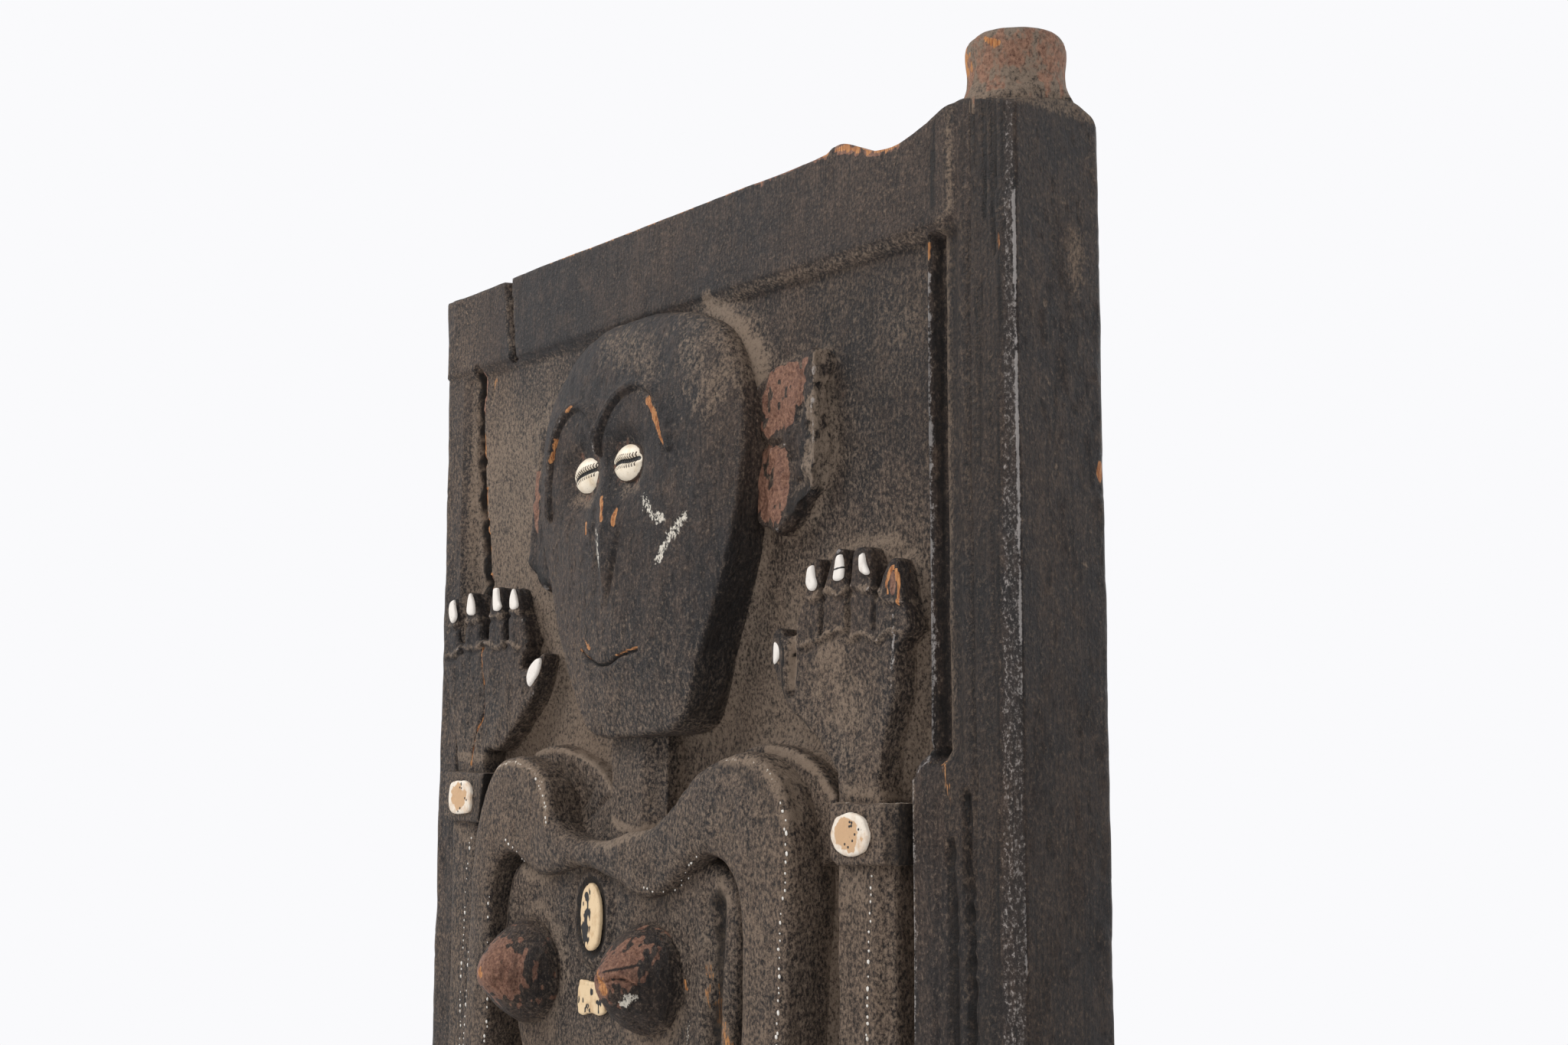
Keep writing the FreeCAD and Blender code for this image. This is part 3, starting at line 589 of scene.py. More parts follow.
@dataclass(frozen=True)
class PatinatedWood:
    """Dense gouged hardwood, dark from smoke and oil: satin where hands rub it, with dust in its pores."""

    name: str = "patinated_hardwood"
    smoke: str = "#252121"
    umber: str = "#382c25"
    tan: str = "#53443a"
    # The soot colour also paints shade, and the worn colour also paints highlight and sheen.
    soot: str = "#0d0a09"
    dust: str = "#918375"
    dust_warm: str = "#87725f"
    worn: str = "#b0aaa6"
    bare: str = "#844621"
    bare_pale: str = "#cf9661"
    red: str = "#633f31"
    red_pale: str = "#a97d66"
    chalk: str = "#e4dccd"

    def make(self) -> Material:
        """Build the material's nodes."""
        material, tree, where = start_material(self.name)
        broad = marks(tree, where, (70, 70, 120))
        mottle = marks(tree, where, (8, 8, 11), 7.0, 0.66)
        grain = marks(tree, where, (1.9, 1.9, 36))
        fibre = marks(tree, where, (0.7, 0.7, 7), 3.0, 0.65)
        # Real dust and pores are finer than half a millimetre; grit is 1.5 mm coarse so that they show
        grit = marks(tree, where, (1.5, 1.5, 2.1), 4.0, 0.78)
        colour = self.body(tree, broad, mottle, grain, grit)
        colour, cover = self.dusted(tree, colour, broad, grit)
        # The wear layer paints highlight and sheen as well as wear, and the soot layer paints shade as well as
        # soot.
        # Each layer: how much of it shows, its two colours, the noise between them, and how much it hides
        layers = (
            (laid(tree, Layer.WEAR_AND_HIGHLIGHT, grit, 1.2, 0.4, 0.62), (self.worn, self.worn), grit, 0.75),
            (laid(tree, Layer.RED, mottle, 0.9, 0.42, 0.54), (self.red, self.red_pale), grit, 0.72),
            (laid(tree, Layer.BARE, fibre, 0.8, 0.42, 0.54), (self.bare, self.bare_pale), fibre, 1.0),
            (laid(tree, Layer.CHALK, grit, 1.7, 0.42, 0.54), (self.chalk, self.chalk), grit, 0.9),
            (laid(tree, Layer.SOOT_AND_SHADE, mottle, 0.5, 0.2, 0.9), (self.soot, self.soot), grit, 0.93))
        for covered, (dark, pale), noise, most in layers:
            tone = add_node(tree, "MapRange", {0: noise, 1: 0.36, 2: 0.64})
            over = add_node(tree, "Mix", {0: tone, 6: linear(dark), 7: linear(pale)}, 2, **RGBA)
            share = add_node(tree, "Math", {0: covered, 1: most}, operation="MULTIPLY")
            colour = add_node(tree, "Mix", {0: share, 6: colour, 7: over}, 2, **RGBA)
        # Dusty wood scatters light and bare smoked wood keeps a dull sheen
        rough = add_node(tree, "MapRange", {0: cover, 1: 0.0, 2: 0.7, 3: 0.5, 4: 0.92})
        height = add_node(tree, "Math", {0: grain, 1: 0.5, 2: grit}, operation="MULTIPLY_ADD")
        height = add_node(tree, "Math", {0: mottle, 1: 0.8, 2: height}, operation="MULTIPLY_ADD")
        bump = add_node(tree, "Bump", {"Strength": 0.9, "Distance": 1.6 * MM, "Height": height})
        surface = {"Base Color": colour, "Roughness": rough, "Normal": bump, "Specular IOR Level": 0.22}
        shader = add_node(tree, "BsdfPrincipled", surface)
        add_node(tree, "OutputMaterial", {0: shader}, None)
        return material

    def body(self, tree: Tree, broad: Socket, mottle: Socket, grain: Socket, grit: Socket) -> Socket:
        """Return the smoked wood's own colour: patches, mottling, dark grain and dark pores."""
        patch = add_node(tree, "MapRange", {0: broad, 1: 0.4, 2: 0.62}, **SMOOTH)
        smoke, umber, tan, soot = (linear(colour) for colour in (self.smoke, self.umber, self.tan, self.soot))
        colour = add_node(tree, "Mix", {0: patch, 6: smoke, 7: umber}, 2, **RGBA)
        cloud = add_node(tree, "MapRange", {0: mottle, 1: 0.46, 2: 0.74, 4: 0.8})
        colour = add_node(tree, "Mix", {0: cloud, 6: colour, 7: tan}, 2, **RGBA)
        for noise, most in ((grain, 0.6), (grit, 0.85)):
            dark = add_node(tree, "MapRange", {0: noise, 1: 0.5, 2: 0.36, 4: most})
            colour = add_node(tree, "Mix", {0: dark, 6: colour, 7: soot}, 2, **RGBA)
        return colour

    def dusted(self, tree: Tree, colour: Socket, broad: Socket, grit: Socket) -> tuple[Socket, Socket]:
        """Lay dust in the pores, thicker by the dust layer, and return the colour and the dust's cover."""
        amount = add_node(tree, "Attribute", {}, "Fac", attribute_name=Layer.DUST.value)
        film = add_node(tree, "Math", {0: broad, 1: 0.5, 2: amount}, operation="MULTIPLY_ADD")
        speckled = add_node(tree, "Math", {0: grit, 1: 3.4, 2: film}, operation="MULTIPLY_ADD")
        cover = add_node(tree, "MapRange", {0: speckled, 1: 1.98, 2: 2.95, 4: 0.86}, **SMOOTH)
        dust, warm = linear(self.dust), linear(self.dust_warm)
        haze = add_node(tree, "Mix", {0: broad, 6: dust, 7: warm}, 2, **RGBA)
        return add_node(tree, "Mix", {0: cover, 6: colour, 7: haze}, 2, **RGBA), cover


@dataclass(frozen=True)
class PaleInlay:
    """Pale shell or bone, rubbed and stained: satin, with brown grime in its pits and along its rim."""

    name: str
    pale: str
    stained: str
    grime: str
    roughness: float = 0.5
    stain_size: float = 5.0
    stain_from: float = 0.45
    # The soot colour also paints the shade inside the eye slits.
    soot: str = "#0d0a09"

    def make(self) -> Material:
        """Build the material's nodes."""
        material, tree, where = start_material(self.name)
        size, low = self.stain_size, self.stain_from
        cloud = marks(tree, where, (size, size, size * 1.5), 5.0, 0.62)
        # Real pits are finer; these are 1 mm wide so that they show
        grains = marks(tree, where, (1.0, 1.0, 1.6), 4.0, 0.65)
        tones = (self.pale, self.stained, self.grime, self.soot)
        pale, stained, grimy, sooty = (linear(tone) for tone in tones)
        stain = add_node(tree, "MapRange", {0: cloud, 1: low, 2: low + 0.2, 4: 0.7})
        heart = laid(tree, Layer.BARE, grains, 0.7)
        spread = add_node(tree, "Math", {0: heart, 1: stain}, operation="MAXIMUM")
        colour = add_node(tree, "Mix", {0: spread, 6: pale, 7: stained}, 2, **RGBA)
        flecks = add_node(tree, "MapRange", {0: grains, 1: 0.36, 2: 0.26, 4: 0.85})
        rim = laid(tree, Layer.DUST, grains, 0.8)
        grime = add_node(tree, "Math", {0: flecks, 1: rim}, operation="MAXIMUM")
        colour = add_node(tree, "Mix", {0: grime, 6: colour, 7: grimy}, 2, **RGBA)
        soot = laid(tree, Layer.SOOT_AND_SHADE, grains, 0.3)
        colour = add_node(tree, "Mix", {0: soot, 6: colour, 7: sooty}, 2, **RGBA)
        bump = add_node(tree, "Bump", {"Strength": 0.5, "Distance": 0.4 * MM, "Height": grains})
        surface = {"Base Color": colour, "Roughness": self.roughness, "Normal": bump, "IOR": 1.5}
        shader = add_node(tree, "BsdfPrincipled", surface)
        add_node(tree, "OutputMaterial", {0: shader}, None)
        return material


def inlay(name: str, pale: str, stained: str, grime: str, *manner: float) -> Material:
    """Return a field that makes a pale material once the finishes are made."""
    return field(default_factory=lambda: PaleInlay(name, pale, stained, grime, *manner).make())


@dataclass
class Finishes:
    """All materials, made once; the pale ones with their roughness and the size and start of their stains."""

    wood: Material = field(default_factory=lambda: PatinatedWood().make())
    # Shell is ivory with a soft gloss, painted bone has a rubbed brown heart, the worn inlay is yellow and
    # flecked, the nails are greyer and polished by touch, and the dots of chalk are matt
    shell: Material = inlay("cowrie_shell", "#e9dcc6", "#cdb694", "#4a3c31", 0.42, 6.0, 0.5)
    disc: Material = inlay("painted_bone_disc", "#ddd2c2", "#bd9973", "#5b4636", 0.6, 5.0, 0.46)
    oval: Material = inlay("worn_bone_inlay", "#d9bf98", "#b9956a", "#332c28", 0.6, 4.0, 0.5)
    nail: Material = inlay("bone_nail", "#ded7ce", "#b7a99b", "#4b413a", 0.5, 4.0, 0.56)
    chalk: Material = inlay("white_stipple", "#ddd8cf", "#b3a899", "#5a5048", 0.7, 3.0, 0.55)


def hand_over(piece: Piece, name: str, material: Material, slot: Slot,
              *nodes: str) -> Piece:
    """Name a finished piece, dress it, and tie it to the door.

    Args:
        piece: The finished object.
        name: The piece's name.
        material: Its material.
        slot: Not used.
        *nodes: The nodes that it stands for.

    Returns:
        The piece.
    """
    piece.name = name
    piece.data.name = name
    piece.data.materials.clear()
    piece.data.materials.append(material)
    activate(piece)
    bpy.ops.object.shade_smooth()
    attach(piece, BODY)
    if nodes:
        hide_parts(*nodes)
    LOG.info("%s: %d vertices", name, len(piece.data.vertices))
    return piece


@dataclass
class CarvedForm:
    """One raised form of the figure: sawn to outlines and skinned, then cut, weathered and stained."""

    name: str
    outlines: tuple[Path, ...]
    proud: float
    voxel: float = 1.25
    root: float = 16.0
    rounding: float = 5.0
    drop: float = 2.4
    strokes: tuple = ()
    stains: tuple = ()
    rough: Triple = (0.55, 0.26, 0.4)
    seed: int = 1
    foot_dust: float = 0.45
    foot_height: float = 7.0
    low_dust: float = 0.36
    # Right-facing walls are painted darker below a height: painted shade along with soot.
    wall_soot_and_shade: float = 0.4
    wall_soot_and_shade_below: float = 1000.0

    def build(self, finishes: Finishes) -> Piece:
        """Model the form and hand it over."""
        front, back = FRONT - self.proud, FRONT + self.root
        piece = joined([board(line, front, back) for line in self.outlines])
        shape_skin(piece, self.voxel)
        carve_front(piece, (Shoulder(self.outlines, self.rounding, self.drop),) + self.strokes, front, back)
        apply_modifier(piece, "SMOOTH", factor=0.5, iterations=1)
        roughen(piece, self.rough, self.seed)
        places = places_of(piece)
        height = FRONT + ground_depth(places[:, 0], places[:, 2]) - places[:, 1]
        dust = self.foot_dust * ease(1 - height / self.foot_height)
        dust += self.low_dust * ease((550 - places[:, 2]) / 110)
        patina = Patina(wall_soot_and_shade=self.wall_soot_and_shade, wall_soot_and_shade_below=self.wall_soot_and_shade_below)
        patina.lay(piece, self.stains, {Layer.DUST: dust})
        return hand_over(piece, self.name, finishes.wood, Slot.WOOD, BOARD)


RECESS_LEFT, RECESS_RIGHT, RECESS_SWELL = -433.0, -31.0, -42.0
RECESS_LOW, RECESS_HIGH, GROOVE_FOOT = 68.0, 668.0, 441.0


def ground_depth(x: Values, z: Values) -> Values:
    """Return the depth of the recess's ground behind the frame."""
    shallow = 2.6 + 2.0 * ease((x + 330) / 200)
    return shallow + (14.0 - shallow) * ease((RECESS_HIGH - z) / 230.0)


# The figure's outlines, in millimetres

HEAD = flowing(((-200, 664), (-171, 653), (-156, 633), (-146, 600), (-148, 570), (-156, 540), (-166, 517),
                (-179, 490), (-187, 468), (-199, 456), (-222, 453), (-245, 452), (-268, 453), (-281, 462),
                (-294, 484), (-309, 520), (-323, 566), (-328, 606), (-318, 637), (-284, 663),
                (-241, 669)), 4)
YOKE = flowing(((-238, 405), (-212, 411), (-180, 433), (-144, 444), (-119, 431), (-109, 410), (-108, 388),
                (-111, 338), (-114, 288), (-117, 244), (-134, 231), (-150, 244), (-148, 288), (-146, 338),
                (-149, 380), (-172, 396), (-200, 382), (-224, 373), (-246, 380), (-282, 388), (-318, 381),
                (-352, 393), (-366, 376), (-368, 338), (-369, 288), (-371, 244), (-384, 231), (-396, 244),
                (-395, 288), (-393, 338), (-388, 392), (-381, 416), (-368, 437), (-347, 444), (-326, 440),
                (-312, 427), (-306, 411), (-290, 402), (-266, 400)), 4)
TORSO = flowing(((-164, 386), (-226, 396), (-300, 396), (-352, 388), (-366, 373), (-371, 350), (-368, 320),
                 (-352, 292), (-336, 226), (-306, 196), (-226, 196), (-196, 213), (-170, 278),
                 (-160, 340)), 4)
NECK = ((-266, 470), (-226, 470), (-226, 398), (-266, 398))
RIGHT_EAR = ((-159, 609), (-145, 622), (-134, 626), (-116, 630), (-101, 629), (-99, 620), (-103, 612),
             (-100, 602), (-101, 580), (-105, 567), (-117, 556), (-125, 550), (-136, 546), (-146, 549),
             (-155, 560), (-157, 590))
LEFT_EAR = ((-348, 627), (-358, 612), (-357, 580), (-360, 552), (-346, 536), (-310, 542), (-310, 622))
RIGHT_PALM = flowing(((-137, 495), (-133.5, 500.5), (-129.5, 496), (-122, 497), (-116, 503), (-49, 500),
                      (-50.5, 487), (-51.5, 468), (-55, 459), (-59.5, 445), (-62, 430), (-62, 410),
                      (-90, 410), (-90.5, 433), (-112, 454), (-126, 465), (-135.6, 483)), 3)
RIGHT_FINGERS = flowing(((-115, 494), (-113, 515), (-111.5, 523), (-108.5, 530), (-103.5, 531),
                         (-101.5, 524), (-100.5, 517), (-98, 520), (-92.5, 530.5), (-87.7, 533.5),
                         (-84.8, 527), (-82, 516), (-80.5, 522), (-78, 532), (-70.5, 533), (-66.5, 525),
                         (-64.8, 512), (-61, 518), (-56, 525), (-50.5, 526.5), (-47.5, 518), (-46.5, 510),
                         (-47, 490)), 3)
LEFT_PALM = flowing(((-440.5, 510), (-441, 490), (-438, 473), (-431, 460), (-427, 440), (-426, 424),
                     (-398, 424), (-397, 448), (-381, 449), (-355, 470), (-345.5, 480), (-337.7, 496.5),
                     (-340.6, 500.5), (-353.5, 492.5), (-359.5, 494.5), (-360.5, 508)), 3)
LEFT_FINGERS = flowing(((-440, 500), (-440, 529.7), (-437.3, 537), (-432.6, 536.5), (-430, 528),
                        (-428.5, 510), (-421.5, 509), (-419.6, 531.5), (-416.8, 539), (-411.3, 534),
                        (-406, 522), (-404, 509), (-395.5, 509), (-394, 530), (-391, 537), (-388, 540),
                        (-382.9, 538), (-380.5, 528), (-379, 510), (-374.5, 509), (-372.5, 529),
                        (-369.1, 538), (-364, 534.7), (-360.8, 524), (-359.8, 500)), 3)
RIGHT_BAND = ((-88, 420.5), (-47.2, 420.5), (-47.5, 394), (-83, 393), (-88, 396))
LEFT_BAND = ((-431, 437), (-386, 435.5), (-391, 408), (-431, 409))


def hand_strokes(gaps: Path, foot: float, upper: Path, lower: Path, palm: Hollow) -> tuple:
    """Return the strokes that part the fingers, raise their joints and hollow the palm.

    Args:
        gaps: The top of each gap between two fingers.
        foot: Height in the door to which the gaps run down.
        upper: Wavy line of the upper joints.
        lower: Wavy line of the lower joints.
        palm: The hollow of the palm.
    """
    strokes = [Stroke(((x, z), (x - 0.6, foot)), 2.1, -1.9) for x, z in gaps]
    for line in (upper, lower):
        strokes += [Stroke(line, 1.8, 0.9), Stroke(tuple((x, z - 3.0) for x, z in line), 2.4, -1.1)]
    return tuple(strokes) + (palm,)


def hand_stains(gaps: Path, foot: float, upper: Path, lower: Path) -> tuple:
    """Return the soot and painted shade in a hand's gaps and under its joints, and the pale dust on its joints.
    """
    stains = [Stain(Layer.SOOT_AND_SHADE, ((x - 0.8, z), (x - 1.4, foot)), 1.5, 0.6, 0.5) for x, z in gaps]
    stains += [Stain(Layer.DUST, line, 2.0, 0.62, 1.2) for line in (upper, lower)]
    stains += [Stain(Layer.SOOT_AND_SHADE, tuple((x, z - 3.4) for x, z in line), 1.8, 0.4, 0.6)
               for line in (upper, lower)]
    return tuple(stains)


def hands() -> list[CarvedForm]:
    """Return the two raised hands with their arms, bands and elbows."""
    right_gaps = ((-100.6, 519), (-82.2, 518), (-64.8, 514))
    right_upper = flowing(((-115, 516), (-108, 512.5), (-101, 515), (-95, 516), (-88, 513), (-82, 516.5),
                           (-76, 516), (-70, 513.5), (-65, 515), (-58, 509), (-47, 507)), 3, False)
    right_lower = flowing(((-115, 492), (-104, 494), (-93, 497), (-84, 497.5), (-81, 493), (-74, 495.5),
                           (-67, 493), (-63, 491), (-56, 495), (-47, 494)), 3, False)
    left_gaps = ((-425, 512), (-401, 512), (-377, 512))
    left_upper = flowing(((-442, 522), (-434, 521), (-426, 524), (-411, 522.5), (-402, 525), (-384, 523.5),
                          (-376, 526), (-360, 524)), 3, False)
    left_lower = flowing(((-442, 505), (-434, 504), (-425, 508), (-408, 507), (-400, 510), (-384, 506),
                          (-376, 509), (-361, 504)), 3, False)
    palm_crack = flowing(((-403, 506), (-399, 487), (-400.5, 470), (-408, 457), (-410, 440)), 4, False)
    right_strokes = (Stroke(((-121, 500), (-122.5, 470)), 4.0, -3.0),
                     Stroke(((-133, 502), (-130, 466)), 5, -1.3),
                     Hollow((-121, 488), (2.4, 1.6), -4.0))
    right_stains = stains_from({
        Layer.DUST: [
            (((-94, 480), (-84, 458)), 22, 0.55, 0.6),
            (((-121, 500), (-122, 474)), 4.5, 0.95, 0.4),
            (((-84, 426), (-62, 424)), 5, 0.7)],
        # The soot in the thumb's pit and along the thumb is also painted shade.
        Layer.SOOT_AND_SHADE: [
            (((-121.8, 488), (-120.4, 488)), 1.5, 1.0, 0.0),
            (flowing(((-131, 496), (-126, 489), (-128, 478), (-127, 468)), 3, False), 1.4, 0.9, 0.3)],
        # The wear on the palm's right edge is a painted highlight along with wear.
        Layer.WEAR_AND_HIGHLIGHT: [
            (((-52, 502), (-52.6, 490), (-54, 470)), 0.9, 0.5, 0.9)],
        Layer.BARE: [
            (((-52, 522.5), (-54.5, 520), (-56.4, 515), (-55.5, 511.5)), 1.8, 0.8, 0.5),
            (((-50, 521), (-48.6, 515), (-48.4, 506)), 1.7, 0.8, 0.5)],
        Layer.RED: [
            (((-52, 519), (-52, 512)), 3.2, 0.8, 0.4)]})
    right_palm, left_palm = Hollow((-84, 462), (30, 34), -2.2), Hollow((-404, 468), (30, 30), -2.2)
    return [
        CarvedForm("right_hand", (RIGHT_PALM, RIGHT_FINGERS), 1.3, 0.85, rounding=3.6, drop=2.2, seed=21,
                   rough=(0.9, 0.5, 0.5), wall_soot_and_shade=0.3,
                   strokes=hand_strokes(right_gaps, 496, right_upper, right_lower, right_palm) + right_strokes,
                   stains=hand_stains(right_gaps, 499, right_upper, right_lower) + right_stains),
        CarvedForm("left_hand", (LEFT_PALM, LEFT_FINGERS), 1.3, 0.85, rounding=3.6, drop=2.2, seed=22,
                   rough=(0.9, 0.5, 0.5), wall_soot_and_shade=0.45,
                   strokes=hand_strokes(left_gaps, 505, left_upper, left_lower, left_palm)
                   + (Stroke(palm_crack, 1.4, -1.6), Stroke(((-341, 499), (-352, 480)), 6, -1.3)),
                   stains=hand_stains(left_gaps, 508, left_upper, left_lower) + (
                       Stain(Layer.BARE, tuple((x + 0.3, z) for x, z in palm_crack), 1.5, 0.7, 0.3),
                       Stain(Layer.DUST, ((-430, 446), (-398, 444)), 6, 0.7))),
        CarvedForm("right_forearm", (((-87, 412), (-54, 412), (-55, 262), (-89, 262)),), 3.4, 1.2,
                   rounding=2.4, drop=1.2, strokes=(Stroke(((-55, 420), (-56, 250)), 9.0, -4.5),), seed=23,
                   stains=(Stain(Layer.DUST, ((-84, 392), (-70, 380)), 9, 0.6, 0.7),)),
        CarvedForm("left_forearm", (((-428, 424), (-400, 424), (-401, 262), (-430, 262)),), 3.4, 1.2,
                   rounding=6.0, drop=3.0, seed=24,
                   stains=(Stain(Layer.DUST, ((-424, 404), (-404, 396)), 6, 0.6, 0.7),)),
        # Each band's right side is painted darker: painted shade along with soot.
        CarvedForm("right_wristband", (RIGHT_BAND,), 7.7, 0.85, rounding=1.6, drop=0.8,
                   strokes=(Stroke(((-46.5, 426), (-46.5, 388)), 8.4, -4.6),), seed=25, rough=(0.4, 0.3, 0.3),
                   wall_soot_and_shade=0.7,
                   stains=(Stain(Layer.DUST, ((-90, 421), (-47, 421)), 1.5, 1.0, 0.3),
                           Stain(Layer.CHALK, ((-82, 421), (-48, 421)), 1.1, 0.5),
                           Stain(Layer.SOOT_AND_SHADE, ((-50, 417), (-50, 396)), 6, 0.5, 0.5))),
        CarvedForm("left_wristband", (LEFT_BAND,), 7.7, 0.85, rounding=2.0, drop=1.0, seed=26,
                   rough=(0.3, 0.2, 0.2), wall_soot_and_shade=0.9,
                   stains=(Stain(Layer.SOOT_AND_SHADE, ((-390, 432), (-394, 410)), 6, 0.5, 0.5),)),
        CarvedForm("right_elbow", (flowing(((-58, 272), (-60, 226), (-80, 204), (-114, 200), (-138, 210),
                                            (-150, 240), (-117, 244), (-102, 242), (-89, 254),
                                            (-88, 272)), 4),),
                   3.4, 1.4, rounding=7.0, drop=4.0, seed=27),
        CarvedForm("left_elbow", (flowing(((-429, 272), (-430, 226), (-418, 206), (-398, 200), (-376, 212),
                                           (-369, 240), (-396, 244), (-399, 254), (-402, 272)), 4),),
                   3.4, 1.4, rounding=7.0, drop=4.0, seed=28),
    ]


def legs() -> list[CarvedForm]:
    """Return the two bent legs with their feet."""
    right = ((-196, 222), (-178, 192), (-166, 164), (-172, 140), (-182, 108), (-158, 101), (-154, 80),
             (-190, 77), (-222, 80), (-222, 106), (-214, 140), (-218, 168), (-248, 196), (-250, 222))
    left = tuple((-532 - x, z) for x, z in reversed(right))
    return [CarvedForm(name, (flowing(line, 4),), 6.0, 1.5, rounding=9.0, drop=5.0, seed=seed)
            for name, line, seed in (("right_leg", right, 29), ("left_leg", left, 30))]


def trunk() -> list[CarvedForm]:
    """Return the shoulders behind, the neck, the torso and the yoke that runs down into the arms."""
    right_band = flowing(((-160, 441), (-149, 440), (-136, 439), (-125, 433), (-117, 424), (-112, 412)), 3,
                         False)
    left_band = flowing(((-368, 437), (-348, 441), (-330, 438), (-319, 431), (-313, 421), (-310, 408)), 3,
                        False)
    collar = flowing(((-272, 402), (-254, 399), (-232, 405), (-216, 411)), 3, False)
    left_dish = flowing(((-352, 440), (-334, 450), (-310, 446), (-286, 438), (-270, 424), (-262, 404),
                         (-300, 392), (-345, 400)), 4)
    left_rim = flowing(((-346, 446), (-320, 447), (-294, 441), (-276, 430), (-267, 417)), 3, False)
    right_dish = flowing(((-176, 436), (-150, 447), (-118, 442), (-97, 424), (-94, 400), (-120, 390),
                          (-160, 410)), 4)
    right_rim = flowing(((-146, 445), (-127, 442), (-112, 435), (-99, 424)), 3, False)
    neck_foot = flowing(((-266, 412), (-258, 408), (-242, 406), (-228, 409)), 3, False)
    beside_left = flowing(((-320, 302), (-309, 318), (-308, 338), (-318, 356), (-334, 364)), 3, False)
    below_right = flowing(((-204, 318), (-214, 306), (-229, 301), (-246, 308)), 3, False)
    oval_seat = (-279, 361.6)
    return [
        CarvedForm("left_shoulder_tier", (left_dish,), -1.5, 1.1, rounding=2.4, drop=1.0, seed=11,
                   rough=(1.0, 0.8, 0.5), wall_soot_and_shade=0.0,
                   strokes=(Hollow((-304, 420), (36, 24), -4.6, -25),
                            Stroke(((-300, 412), (-268, 424)), 3.0, -1.4),
                            Stroke(((-306, 418), (-282, 434)), 3, -1.0)),
                   stains=(Stain(Layer.DUST, left_rim, 2.2, 1.0),
                           # The soot in the dish under the yoke's edge is also painted shade.
                           Stain(Layer.SOOT_AND_SHADE, ((-318, 440), (-300, 424)), 9, 0.45, 0.6))),
        CarvedForm("right_shoulder_tier", (right_dish,), -3.0, 1.1, rounding=2.4, drop=1.0, seed=12,
                   stains=(Stain(Layer.DUST, right_rim, 3.4, 1.0),)),
        CarvedForm("neck", (NECK,), 3.0, 1.0, rounding=1.4, drop=0.5, seed=3, wall_soot_and_shade=0.2,
                   strokes=(Stroke(((-226, 480), (-226, 390)), 15.0, -6.5),),
                   stains=(Stain(Layer.DUST, neck_foot, 4, 0.9),)),
        CarvedForm("torso", (TORSO,), 4.4, 1.4, rounding=9.0, drop=5.0, seed=4, rough=(0.9, 0.45, 0.45),
                   strokes=(Stroke(((-172, 372), (-174, 330), (-182, 250)), 6.0, -4.2),
                            Stroke(((-187, 384), (-184, 350), (-186, 300), (-196, 250)), 5.0, 1.6),
                            Hollow((-229, 335), (46, 50), -2.0), Hollow((-339, 332), (44, 48), -2.2),
                            Stroke(oval_line(oval_seat, (14.5, 22)), 3.0, 1.5, True),
                            Stroke(oval_line(oval_seat, (20, 28)), 3.4, -1.3, True)),
                   stains=stains_from({
                       Layer.DUST: [
                           (beside_left, 7, 0.62, 0.8),
                           (below_right, 8, 0.62, 0.8),
                           (((-348, 384), (-330, 378), (-312, 384)), 6, 0.7, 0.8),
                           (((-172, 384), (-166, 372)), 6, 0.9, 0.5),
                           (((-176, 352), (-170, 296)), 9, 0.7, 1.3)],
                       # The soot down the groove beside the right arm is also painted shade.
                       Layer.SOOT_AND_SHADE: [
                           (((-172, 376), (-174, 330), (-182, 250)), 8, 0.7, 0.6),
                           (oval_line(oval_seat, (13, 20)), 2.4, 0.75, 0.2, True)],
                       Layer.BARE: [
                           (((-179, 342), (-174, 322), (-168, 304)), 6.0, 0.46, 1.7),
                           (((-201, 335), (-198, 331)), 1.8, 0.8, 0.8)],
                       Layer.CHALK: [
                           (((-196, 316), (-197, 300)), 2.4, 0.4, 0.8)]})),
        CarvedForm("yoke_and_arms", (YOKE,), 13.0, 1.2, rounding=6.0, drop=3.6, seed=5,
                   rough=(0.9, 0.35, 0.45),
                   strokes=(Crown(YOKE, 16.0, 1.4), Hollow((-212, 386), (26, 15), -1.4),
                            Hollow((-140, 402), (24, 36), 1.4)),
                   stains=stains_from({
                       Layer.DUST: [
                           (right_band, 4.2, 0.9, 0.9),
                           (left_band, 2.6, 1.0, 0.6),
                           (collar, 5, 0.8, 0.6)],
                       Layer.CHALK: [
                           (right_band, 1.6, 0.3, 0.9),
                           (left_band, 1.4, 0.42, 0.5)],
                       # The soot under the right shoulder band is also painted shade.
                       Layer.SOOT_AND_SHADE: [
                           (tuple((x - 4, z - 4) for x, z in right_band), 5, 0.45, 1.0)],
                       Layer.BARE: [
                           (((-136, 390), (-132, 384)), 9, 0.18, 0.4)]})),
    ]


def oval_line(centre: Point, radii: Point) -> Path:
    """Return an oval line round a centre."""
    return tuple((centre[0] + radii[0] * math.cos(math.tau * step / 28),
                  centre[1] + radii[1] * math.sin(math.tau * step / 28)) for step in range(28))


